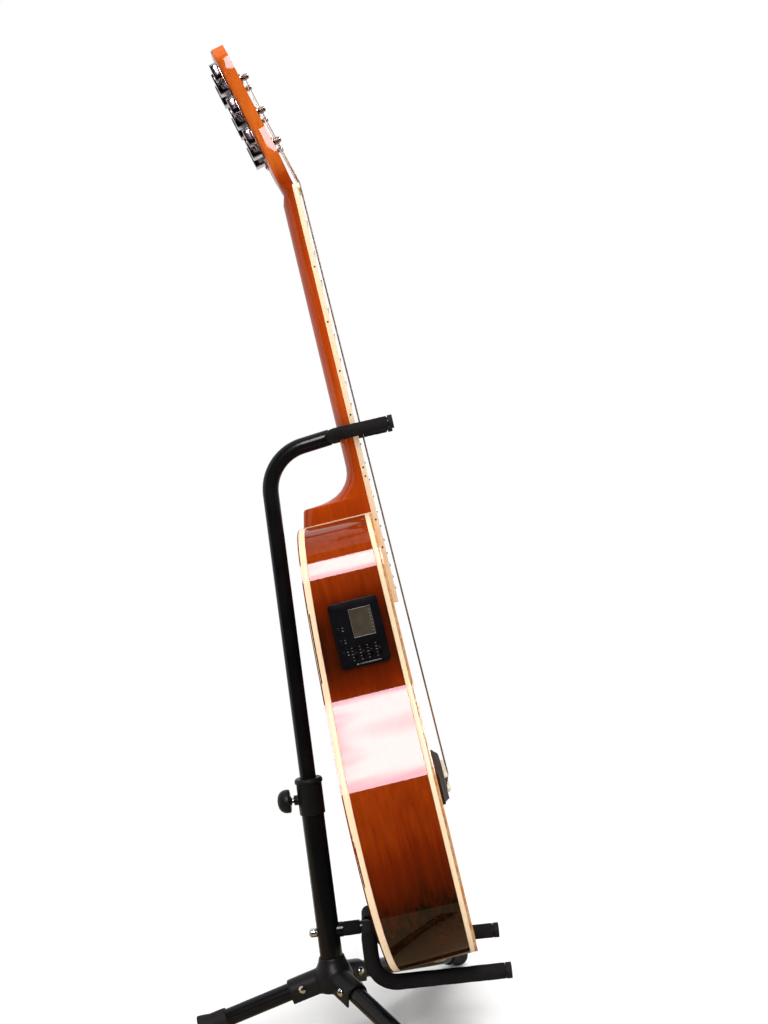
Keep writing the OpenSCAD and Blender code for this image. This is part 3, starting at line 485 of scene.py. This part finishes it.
def hoop(name, top, bottom, wall, soften):
    """A strip of the outline between two levels, with its wall inwards."""
    piece = body_outline(name)
    bpy.ops.object.mode_set(mode="EDIT")
    bpy.ops.mesh.select_all(action="SELECT")
    bpy.ops.mesh.extrude_region_move(TRANSFORM_OT_translate={"value": (0, 0, -50)})
    bpy.ops.object.mode_set(mode="OBJECT")
    for vertex in piece.data.vertices:
        vertex.co.z = bottom(vertex.co.y) if vertex.co.z < -25 else top(vertex.co.y)
    bpy.ops.object.mode_set(mode="EDIT")
    bpy.ops.mesh.select_all(action="SELECT")
    bpy.ops.mesh.normals_make_consistent(inside=False)
    bpy.ops.object.mode_set(mode="OBJECT")
    thick = piece.modifiers.new("Wall", "SOLIDIFY")
    thick.thickness = wall
    thick.offset = -1
    thick.use_even_offset = True
    bpy.ops.object.modifier_apply(modifier=thick.name)
    if soften:
        soft = piece.modifiers.new("Rounding", "BEVEL")
        soft.width = soften
        soft.segments = 3
        soft.limit_method = "ANGLE"
        soft.angle_limit = math.radians(50)
        bpy.ops.object.modifier_apply(modifier=soft.name)
    place_on_guitar(piece)
    bpy.ops.object.shade_smooth_by_angle(angle=math.radians(35))
    return piece


def up_the_neck(wire):
    """Object coordinates turned so that Z runs up the neck."""
    return wire.node("ShaderNodeMapping", inputs={"Vector": wire.node("ShaderNodeTexCoord", out=3),
                                                  "Rotation": (0, LEAN, 0)})


def stretch(wire, place, across, along):
    return wire.node("ShaderNodeMapping", inputs={"Vector": place, "Scale": (across, across, along)})


def lacquer(name, dark, mid, light, fibre, stain_shade_stops):
    """Figured wood under clear gloss, its colour deeper or paler up the neck by (place, tone) pairs, which
    paint both stain and shade.
    """
    made, shader, wire = finish(name, Specular_IOR_Level=0.0, Coat_Weight=0.5, Coat_Roughness=0.015,
                                Coat_IOR=1.5)
    place = up_the_neck(wire)
    streak = wire.node("ShaderNodeTexNoise", inputs={"Vector": stretch(wire, place, fibre, fibre / 30),
                                                     "Scale": 1.0, "Detail": 6.0})
    broad = wire.node("ShaderNodeTexNoise", inputs={"Vector": stretch(wire, place, 20.0, 5.0),
                                                    "Scale": 1.0, "Detail": 3.0})
    height = wire.node("ShaderNodeSeparateXYZ", inputs={0: place}, out=2)
    # Stain and painted shade: these stops darken or pale the colour by height up the neck.
    stain_and_shade = wire.node("ShaderNodeValToRGB",
                      {"stops": [(at, (tone, tone, tone, 1)) for at, tone in stain_shade_stops]}, {0: height})
    figure_and_shade = 0.3 * streak + 0.3 * broad + 0.7 * stain_and_shade - 0.15
    tone = wire.node("ShaderNodeValToRGB", {"stops": [(0.12, dark), (0.5, mid), (0.85, light)]}, {0: figure_and_shade})
    tone.into(shader, "Base Color")
    (0.3 + 0.2 * streak).into(shader, "Roughness")
    return made


# Painted light and shade: the stops make the colour near-black at the tail and in a band round the preamp,
# and bright between, where the sides face the light.
red_brown = lacquer("red_brown_lacquer", (0.007, 0.0034, 0.0013, 1), (0.115, 0.0115, 0.0014, 1),
                    (0.30, 0.040, 0.003, 1), 260.0,
                    [(0.172, 0.0), (0.195, 0.22), (0.25, 0.62), (0.32, 0.80), (0.385, 0.62), (0.42, 0.16),
                     (0.46, 0.10), (0.495, 0.55), (0.53, 0.78), (0.57, 0.58)])
sides = hoop("sides_finished", lambda y: -BINDING, lambda y: BINDING - body_depth(y), 2.4, 0)
settle(sides, red_brown, "body_wood", "guitar", "sides")

# Guitar body: back
# One arched board glued on to the sides and flushed to the binding, in the
# same colour, painted shade and gloss.
STRIPS = 36


def plate(name, level, thickness, inset):
    """A board that fills the outline, cut across into strips so that it can take an arch."""
    piece = body_outline(name)
    bpy.ops.object.mode_set(mode="EDIT")
    bpy.ops.mesh.select_all(action="SELECT")
    bpy.ops.mesh.edge_face_add()
    bpy.ops.mesh.inset(thickness=inset)
    bpy.ops.mesh.select_all(action="INVERT")
    bpy.ops.mesh.delete(type="FACE")
    for strip in range(1, STRIPS):
        bpy.ops.mesh.select_all(action="SELECT")
        bpy.ops.mesh.bisect(plane_co=(0, BODY_LEN * strip / STRIPS, 0), plane_no=(0, 1, 0))
    bpy.ops.mesh.select_all(action="SELECT")
    bpy.ops.mesh.normals_make_consistent(inside=False)
    bpy.ops.object.mode_set(mode="OBJECT")
    for vertex in piece.data.vertices:
        vertex.co.z = level(vertex.co.y)
    thick = piece.modifiers.new("Board", "SOLIDIFY")
    thick.thickness = thickness
    thick.offset = 0
    bpy.ops.object.modifier_apply(modifier=thick.name)
    return piece


back = plate("back_finished", lambda y: 1.35 - body_depth(y), 2.6, 2.3)
place_on_guitar(back)
bpy.ops.object.shade_smooth_by_angle(angle=math.radians(35))
settle(back, red_brown, "body_wood", "guitar", "back_plate")

# Guitar body: binding
# Strips of cream plastic let into both edges of the body and scraped
# flush, faintly mottled and yellowed by the lacquer.
cream, shader, wire = finish("cream_binding", Specular_IOR_Level=0.04, Coat_Weight=0.12, Coat_Roughness=0.04)
place = wire.node("ShaderNodeTexCoord", out=3)
mottle = wire.node("ShaderNodeTexNoise", inputs={"Vector": place, "Scale": 30.0, "Detail": 5.0})
mottle.mix((0.70, 0.49, 0.30, 1), (0.84, 0.64, 0.44, 1)).into(shader, "Base Color")
(0.22 + 0.15 * mottle).into(shader, "Roughness")
top_edge = hoop("top_binding", lambda y: 0, lambda y: -BINDING, 2.6, 0.9)
settle(top_edge, cream, "binding", "guitar", "body_binding")
back_edge = hoop("back_binding", lambda y: BINDING - body_depth(y), lambda y: -body_depth(y), 2.6, 0.9)
settle(back_edge, cream, "binding", "guitar")

# Guitar body: soundboard
# A tight-grained spruce board under amber lacquer, with the soundhole cut
# through it and rings of dark and pale inlay let in around the hole.
HOLE_Y = 334.0
HOLE_R = 51.0
spruce = lacquer("spruce_top", (0.44, 0.16, 0.040, 1), (0.58, 0.25, 0.070, 1), (0.68, 0.34, 0.11, 1), 700.0,
                 [(0.15, 0.40), (0.50, 0.60)])
board = plate("soundboard_finished", lambda y: -1.5, 3.0, 2.3)
clear_selection()
bpy.ops.mesh.primitive_cylinder_add(vertices=96, radius=HOLE_R, depth=20, location=(0, HOLE_Y, 0))
plug = bpy.context.object
clear_selection()
board.select_set(True)
bpy.context.view_layer.objects.active = board
bore = board.modifiers.new("Soundhole", "BOOLEAN")
bore.object = plug
bore.operation = "DIFFERENCE"
bpy.ops.object.modifier_apply(modifier=bore.name)
bpy.data.objects.remove(plug)
place_on_guitar(board)
bpy.ops.object.shade_smooth_by_angle(angle=math.radians(35))
settle(board, spruce, "top_wood", "guitar", "soundboard")


def open_wood(name, dark, light, rough):
    """Wood with an open grain that runs up the neck and is rubbed with oil."""
    made, shader, wire = finish(name, Specular_IOR_Level=0.04)
    pores = wire.node("ShaderNodeTexNoise", inputs={"Vector": stretch(wire, up_the_neck(wire), 900.0, 40.0),
                                                    "Scale": 1.0, "Detail": 5.0})
    pores.mix(dark, light).into(shader, "Base Color")
    (rough + 0.2 * pores).into(shader, "Roughness")
    relief = wire.node("ShaderNodeBump", inputs={"Strength": 0.25, "Distance": 0.0003, "Height": pores})
    relief.into(shader, "Normal")
    return made


rosewood = open_wood("oiled_rosewood", (0.008, 0.004, 0.003, 1), (0.045, 0.021, 0.013, 1), 0.4)
for radius, width, material, slot in ((54.5, 0.5, cream, "binding"), (58.5, 2.6, rosewood, "rosewood"),
                                      (62.5, 0.5, cream, "binding")):
    clear_selection()
    bpy.ops.mesh.primitive_torus_add(major_radius=radius, minor_radius=width, major_segments=128,
                                     minor_segments=12, location=(0, 0, 0))
    ring = bpy.context.object
    ring.name = "rosette_%d" % round(radius)
    ring.data.transform(Matrix.Translation((0, HOLE_Y, 0)) @ Matrix.Diagonal((1, 1, 0.12 / width, 1)))
    place_on_guitar(ring)
    bpy.ops.object.shade_smooth_by_angle(angle=math.radians(60))
    settle(ring, material, slot, "guitar")

# Neck
# One piece of pale wood stained amber: a rounded shaft, a deep heel carved
# to a foot at the body, and a headstock tilted back, all under thick gloss.
NUT_Y = 850.231
NUT_W = 43.0
JOINT_W = 55.0
HEAD_TILT = math.radians(13.5)
HEAD_DROP = 2.0
NUT_T = 5.0
HEAD_T = 15.0
heel_line = [(486.5, 77.0), (493, 75.4), (500, 73.8), (505, 72.5), (506.8, 71.2), (507.4, 67), (507.9, 59),
             (508.7, 50), (510.5, 42), (513.7, 33.6), (518, 27), (523.6, 21.8), (529, 18.4), (535, 16.3),
             (542, 15.4), (556, 15.2), (620, 15.1), (700, 14.9), (790, 14.6), (838, 14.5)]
head_line = [(-3, 21.4), (4, 21.5), (9, 22.4), (14, 26), (19, 31), (25, 35.2), (33, 37.5), (36, 37.7),
             (37, 37.66), (66, 35.5), (67, 35.45), (85, 35.0), (110, 34.5), (135, 34.2), (152, 34),
             (153, 33.9), (155, 33.2), (157, 32), (168, 24.6), (169.4, 22), (170, 18), (170.2, 8)]


def board_width(y):
    return NUT_W + (JOINT_W - NUT_W) * (NUT_Y - y) / (NUT_Y - BODY_LEN)


def section(half_width, depth, power, arc=28):
    """One ring of the neck: a flat top with a rounded or squared underside."""
    ring = []
    for step in range(arc + 1):
        angle = math.pi * step / arc
        x = half_width * math.copysign(abs(math.cos(angle)) ** (2 / power), math.cos(angle))
        ring.append((x, -depth * math.sin(angle) ** (2 / power)))
    ring += [(half_width * (side - 4) / 4, 0.0) for side in range(1, 8)]
    return ring


rings = []
for y, depth in heel_line:
    blend = max(0.0, (556 - y) / 70)
    shaft = section(board_width(y) / 2 - 0.05, depth, 2.0 + 0.25 * blend)
    rings.append([Vector((x, y, z)) for x, z in shaft])
to_head = Matrix.Translation((0, NUT_Y + NUT_T, HEAD_DROP)) @ Matrix.Rotation(-HEAD_TILT, 4, "X")
for y, half_width in head_line:
    square = min(1.0, max(0.0, (y + 3) / 22))
    depth = 14.6 + (HEAD_T - 14.6) * square
    rings.append([to_head @ Vector((x, y, z)) for x, z in section(half_width, depth, 2.2 + 9.0 * square)])
count = len(rings[0])
faces = [[a * count + b, a * count + (b + 1) % count,
          (a + 1) * count + (b + 1) % count, (a + 1) * count + b]
         for a in range(len(rings) - 1) for b in range(count)]
faces += [list(range(count)), [(len(rings) - 1) * count + b for b in reversed(range(count))]]
shape = bpy.data.meshes.new("neck_finished")
shape.from_pydata([point for ring in rings for point in ring], [], faces)
neck = bpy.data.objects.new("neck_finished", shape)
bpy.context.scene.collection.objects.link(neck)
clear_selection()
neck.select_set(True)
bpy.context.view_layer.objects.active = neck
bpy.ops.object.mode_set(mode="EDIT")
bpy.ops.mesh.select_all(action="SELECT")
bpy.ops.mesh.normals_make_consistent(inside=False)
bpy.ops.object.mode_set(mode="OBJECT")
place_on_guitar(neck)
bpy.ops.object.shade_smooth_by_angle(angle=math.radians(48))
# Painted shade: the stops darken the heel and the neck just below the headstock. The paler headstock is its
# own more orange tone.
amber = lacquer("amber_lacquer", (0.17, 0.018, 0.002, 1), (0.36, 0.042, 0.003, 1),
                (0.56, 0.135, 0.016, 1), 300.0,
                [(0.55, 0.40), (0.66, 0.55), (0.88, 0.42), (0.935, 0.30), (0.95, 0.80)])
cap_line = bpy.data.meshes.new("heel_cap")
outer = section(board_width(486.5) / 2 + 0.3, 77.4, 2.5)
total = len(outer)
cap_line.from_pydata([(x, y, z) for y in (486.9, 488.0) for x, z in outer], [],
                     [[b, (b + 1) % total, total + (b + 1) % total, total + b] for b in range(total)]
                     + [list(range(total)), [total + b for b in reversed(range(total))]])
heel_cap = bpy.data.objects.new("heel_cap", cap_line)
bpy.context.scene.collection.objects.link(heel_cap)
clear_selection()
heel_cap.select_set(True)
bpy.context.view_layer.objects.active = heel_cap
bpy.ops.object.mode_set(mode="EDIT")
bpy.ops.mesh.select_all(action="SELECT")
bpy.ops.mesh.normals_make_consistent(inside=False)
bpy.ops.object.mode_set(mode="OBJECT")
place_on_guitar(heel_cap)
bpy.ops.object.shade_smooth_by_angle(angle=math.radians(40))
settle(heel_cap, cream, "binding", "guitar")
settle(neck, amber, "neck_wood", "guitar", "neck")

# Fretboard with its edging, dots and frets
# Rosewood edged in cream, with half-round wire let into sawn slots, pearl
# dots in its face and black dots in its edge to guide the player.
SCALE = 655.0
BOARD_T = 6.0
dress("fretboard", rosewood, "rosewood", rounding=0.0003)
dress("fretboard_binding", cream, "binding", rounding=0.0003)
fret_metal, shader, wire = finish("fret_metal", Metallic=1.0)
place = wire.node("ShaderNodeTexCoord", out=3)
scuff = wire.node("ShaderNodeTexNoise", inputs={"Vector": place, "Scale": 300.0, "Detail": 4.0})
scuff.mix((0.50, 0.49, 0.45, 1), (0.70, 0.69, 0.65, 1)).into(shader, "Base Color")
(0.15 + 0.2 * scuff).into(shader, "Roughness")
for part in ("frets", "truss_rod"):
    dress(part, fret_metal, "fret_wire", rounding=0.0001)
pearl, shader, wire = finish("pearl_dots", Roughness=0.2, Specular_IOR_Level=0.04)
place = wire.node("ShaderNodeTexCoord", out=3)
sheen = wire.node("ShaderNodeTexNoise",
                  inputs={"Vector": place, "Scale": 260.0, "Detail": 4.0, "Distortion": 2.0})
sheen.mix((0.62, 0.60, 0.55, 1), (0.88, 0.90, 0.90, 1)).into(shader, "Base Color")
jet, shader, wire = finish("black_dots", Roughness=0.3, Specular_IOR_Level=0.04)
place = wire.node("ShaderNodeTexCoord", out=3)
speck = wire.node("ShaderNodeTexNoise", inputs={"Vector": place, "Scale": 900.0})
speck.mix((0.006, 0.004, 0.003, 1), (0.016, 0.011, 0.008, 1)).into(shader, "Base Color")


def join_all(pieces, name):
    clear_selection()
    for piece in pieces:
        piece.select_set(True)
    bpy.context.view_layer.objects.active = pieces[0]
    bpy.ops.object.join()
    bpy.context.object.name = name
    return bpy.context.object


def disc(radius, height, place, rounding, vertices=24):
    """A round button with a softened rim, standing at a place in the guitar's millimetres."""
    clear_selection()
    bpy.ops.mesh.primitive_cylinder_add(vertices=vertices, radius=radius, depth=height)
    made = bpy.context.object
    soft = made.modifiers.new("Rim", "BEVEL")
    soft.width = rounding
    soft.segments = 3
    soft.limit_method = "ANGLE"
    bpy.ops.object.modifier_apply(modifier=soft.name)
    made.data.transform(place)
    return made


face_dots = []
edge_dots = []
for fret in (3, 5, 7, 9, 12, 15, 17, 19):
    y = NUT_Y - SCALE * (1 - 2 ** (-(fret - 0.5) / 12))
    double = fret == 12
    for shift in ((-10, 10) if double else (0,)):
        face_dots.append(disc(3.0, 0.5, Matrix.Translation((shift, y, BOARD_T - 0.12)), 0.08))
    if fret < 19:
        for shift in ((-5, 5) if double else (0,)):
            at = Matrix.Translation((-board_width(y + shift) / 2 - 0.04, y + shift, 3.0))
            edge_dots.append(disc(1.05, 0.5, at @ Matrix.Rotation(math.radians(90), 4, "Y"), 0.06))
for dots, name, material, slot in ((face_dots, "face_dots", pearl, "bone"),
                                   (edge_dots, "edge_dots", jet, "preamp_black")):
    piece = join_all(dots, name)
    place_on_guitar(piece)
    bpy.ops.object.shade_smooth_by_angle(angle=math.radians(40))
    settle(piece, material, slot, "guitar")

# Nut, saddle and bridge
# A rosewood bridge glued to the top, with a bone saddle in its slot, a bone
# nut at the other end, and six pins that hold the ball ends of the strings.
dress("bridge", rosewood, "rosewood", rounding=0.0009, crease=28)
bone, shader, wire = finish("bone", Specular_IOR_Level=0.04)
place = wire.node("ShaderNodeTexCoord", out=3)
vein = wire.node("ShaderNodeTexNoise", inputs={"Vector": place, "Scale": 220.0, "Detail": 4.0})
vein.mix((0.70, 0.60, 0.42, 1), (0.86, 0.79, 0.63, 1)).into(shader, "Base Color")
(0.2 + 0.2 * vein).into(shader, "Roughness")
for part in ("nut", "saddle", "bridge_pins"):
    dress(part, bone, "bone", rounding=0.0004)

# Strings
# Bronze wound round steel for the lower four, with fine ribs whose grooves
# are painted shade, over the saddle and the nut and on to the posts.
bronze, shader, wire = finish("bronze_winding", Metallic=1.0)
# The ribs are painted as pale and dark bands in the colour; the dark bands are painted shade in the grooves
# between the turns.
rib_shade_bands = wire.node("ShaderNodeTexWave", {"bands_direction": "Z"}, {"Vector": up_the_neck(wire), "Scale": 700.0})
rib_shade_bands.mix((0.34, 0.25, 0.16, 1), (0.62, 0.50, 0.36, 1)).into(shader, "Base Color")
(0.28 + 0.15 * rib_shade_bands).into(shader, "Roughness")
dress("strings", bronze, "string_wire")

# Tuning machines
# Cast and plated gear cases screwed to the back of the headstock, each with
# a kidney button on its worm and a turned post that takes the string.
POST_X = 22.0
POST_YS = (50.0, 87.0, 127.0)
POST_R = 3.0
tuner_chrome, shader, wire = finish("tuner_plate", Metallic=1.0)
place = wire.node("ShaderNodeTexCoord", out=3)
haze = wire.node("ShaderNodeTexNoise", inputs={"Vector": place, "Scale": 210.0, "Detail": 5.0})
haze.mix((0.16, 0.15, 0.15, 1), (0.52, 0.50, 0.52, 1)).into(shader, "Base Color")
(0.06 + 0.15 * haze).into(shader, "Roughness")
dress("tuner_housings", tuner_chrome, "tuner_chrome", rounding=0.0007)
string_radii = (0.66, 0.53, 0.42, 0.31, 0.20, 0.16)
screws = []
for number in range(6):
    dress("string_post_%d" % (number + 1), tuner_chrome, "tuner_chrome", rounding=0.0003)
    dress("tuner_button_%d" % (number + 1), tuner_chrome, "tuner_chrome", rounding=0.0017)
    side = -1 if number < 3 else 1
    row = number % 3
    at_post = to_head @ Matrix.Translation((side * POST_X, POST_YS[row], 0))
    gauge = string_radii[number] if number < 3 else string_radii[5 - row]
    turns = []
    for turn in range(4):
        clear_selection()
        bpy.ops.mesh.primitive_torus_add(major_radius=POST_R - 0.25 + gauge, minor_radius=gauge,
                                         major_segments=32, minor_segments=8)
        lift = Matrix.Translation((0, 0, 6.9 - turn * 2 * gauge)) @ Matrix.Rotation(math.radians(4), 4, "X")
        bpy.context.object.data.transform(at_post @ lift)
        turns.append(bpy.context.object)
    coil = join_all(turns, "string_turns_%d" % (number + 1))
    place_on_guitar(coil)
    bpy.ops.object.shade_smooth()
    settle(coil, bronze, "string_wire", "string_post_%d" % (number + 1))
    for end in (-11, 19):
        screws.append(disc(1.9, 1.4, at_post @ Matrix.Translation((0, end, -HEAD_T - 1.6)), 0.6, vertices=20))
piece = join_all(screws, "tuner_screws")
place_on_guitar(piece)
bpy.ops.object.shade_smooth_by_angle(angle=math.radians(40))
settle(piece, tuner_chrome, "tuner_chrome", "guitar")

# Preamp
# A satin black moulded panel let into the bass side, with a tinted display
# in a bright frame, tone sliders with scale marks, and push buttons.
PANEL_T = 3.3
SCREEN = (5.3, 10.5, 22.0, 29.0)
SLIDER_XS = (-8.2, 0.0, 7.7, 16.5)
SLIDER_Y = -20.0
BUTTON_X = -20.0
BUTTON_YS = (5.5, -7.0, -19.5)
MARK_T = 0.14
panel_black, shader, wire = finish("preamp_plastic", Specular_IOR_Level=0.14)
place = wire.node("ShaderNodeTexCoord", out=3)
tooth = wire.node("ShaderNodeTexNoise", inputs={"Vector": place, "Scale": 1600.0, "Detail": 1.0})
cloud = wire.node("ShaderNodeTexNoise", inputs={"Vector": place, "Scale": 60.0, "Detail": 3.0})
cloud.mix((0.002, 0.002, 0.0025, 1), (0.005, 0.005, 0.006, 1)).into(shader, "Base Color")
(0.25 + 0.15 * cloud).into(shader, "Roughness")
relief = wire.node("ShaderNodeBump", inputs={"Strength": 0.2, "Distance": 0.0002, "Height": tooth})
relief.into(shader, "Normal")
dress("preamp_housing", panel_black, "preamp_black", rounding=0.0005)
for number in range(1, 5):
    dress("preamp_slider_%d" % number, panel_black, "preamp_black", rounding=0.0004)
for number in range(1, 4):
    dress("preamp_button_%d" % number, panel_black, "preamp_black", rounding=0.0005)
window, shader, wire = finish("tinted_window", Roughness=0.08, Specular_IOR_Level=0.3)
place = wire.node("ShaderNodeTexCoord", out=3)
tint = wire.node("ShaderNodeTexNoise", inputs={"Vector": place, "Scale": 55.0, "Detail": 1.0})
tint.mix((0.012, 0.009, 0.006, 1), (0.085, 0.066, 0.046, 1)).into(shader, "Base Color")
dress("preamp_screen", window, "screen", rounding=0.0002)


def curve_at(start, out, into, end, t):
    """A point of a cubic curve and its direction there."""
    ends = [Vector(point) for point in (start, out, into, end)]
    middle = [ends[i].lerp(ends[i + 1], t) for i in range(3)]
    last = [middle[i].lerp(middle[i + 1], t) for i in range(2)]
    return last[0].lerp(last[1], t), (last[1] - last[0]).normalized()


at, run = curve_at((140, 332), (140, 352), (144, 378), (144, 404), 0.61)
panel = Matrix(((0, -run[0], -run[1], -at[0]), (0, run[1], -run[0], at[1]), (1, 0, 0, -41), (0, 0, 0, 1)))
print_white, shader, wire = finish("pale_marks", Roughness=0.4, Specular_IOR_Level=0.04)
place = wire.node("ShaderNodeTexCoord", out=3)
rubbed = wire.node("ShaderNodeTexNoise", inputs={"Vector": place, "Scale": 500.0, "Detail": 3.0})
rubbed.mix((0.13, 0.13, 0.14, 1), (0.34, 0.34, 0.36, 1)).into(shader, "Base Color")


def bar(x, y, width, height, level, thickness):
    """A thin bar on the panel, centred at x and y."""
    clear_selection()
    bpy.ops.mesh.primitive_cube_add(size=1)
    made = bpy.context.object
    made.data.transform(Matrix.Translation((x, y, level + thickness / 2))
                        @ Matrix.Diagonal((width, height, thickness, 1)))
    soft = made.modifiers.new("Edge", "BEVEL")
    soft.width = min(width, height, thickness) * 0.3
    soft.segments = 2
    bpy.ops.object.modifier_apply(modifier=soft.name)
    made.data.transform(panel)
    return made


x, y, width, height = SCREEN
frame_bars = [bar(x + side * width / 2, y, 0.8, height + 0.8, PANEL_T - 0.2, 0.6) for side in (-1, 1)]
frame_bars += [bar(x, y + side * height / 2, width + 0.8, 0.8, PANEL_T - 0.2, 0.6) for side in (-1, 1)]
frame_bars.append(bar(3.0, -31.0, 26, 1.1, PANEL_T - 0.2, 0.5))
marks = []
for column in SLIDER_XS:
    for tick in range(5):
        length = 1.5 if tick != 2 else 2.2
        marks.append(bar(column - 3.1, SLIDER_Y + 3.25 * (tick - 2), length, 0.35, PANEL_T - 0.1, MARK_T))
for row in BUTTON_YS:
    marks.append(bar(BUTTON_X + 4.2, row, 1.6, 0.5, PANEL_T - 0.1, MARK_T))
    marks.append(bar(BUTTON_X + 4.2, row + 3.0, 1.6, 0.35, PANEL_T - 0.1, MARK_T))
for tick in range(7):
    marks.append(bar(x + width / 2 - 1.6, y + 3.6 * (tick - 3), 1.6, 0.4, PANEL_T - 0.2, MARK_T))
bright_frame, shader, wire = finish("frame_plate", Metallic=0.6)
place = wire.node("ShaderNodeTexCoord", out=3)
rubbed = wire.node("ShaderNodeTexNoise", inputs={"Vector": place, "Scale": 300.0, "Detail": 3.0})
rubbed.mix((0.06, 0.058, 0.058, 1), (0.20, 0.19, 0.18, 1)).into(shader, "Base Color")
(0.3 + 0.2 * rubbed).into(shader, "Roughness")
for bars, name, material in ((frame_bars, "display_frame", bright_frame),
                             (marks, "panel_marks", print_white)):
    piece = join_all(bars, name)
    place_on_guitar(piece)
    settle(piece, material, "screen", "guitar")

# Inner wood
# Bare spruce and lime: the blocks and lining strips that join top, back and
# sides, and the braces glued across the boards.
bare_wood = open_wood("bare_wood", (0.50, 0.33, 0.17, 1), (0.70, 0.52, 0.32, 1), 0.6)
for part in ("blocks_and_linings", "braces"):
    dress(part, bare_wood, "inner_wood")
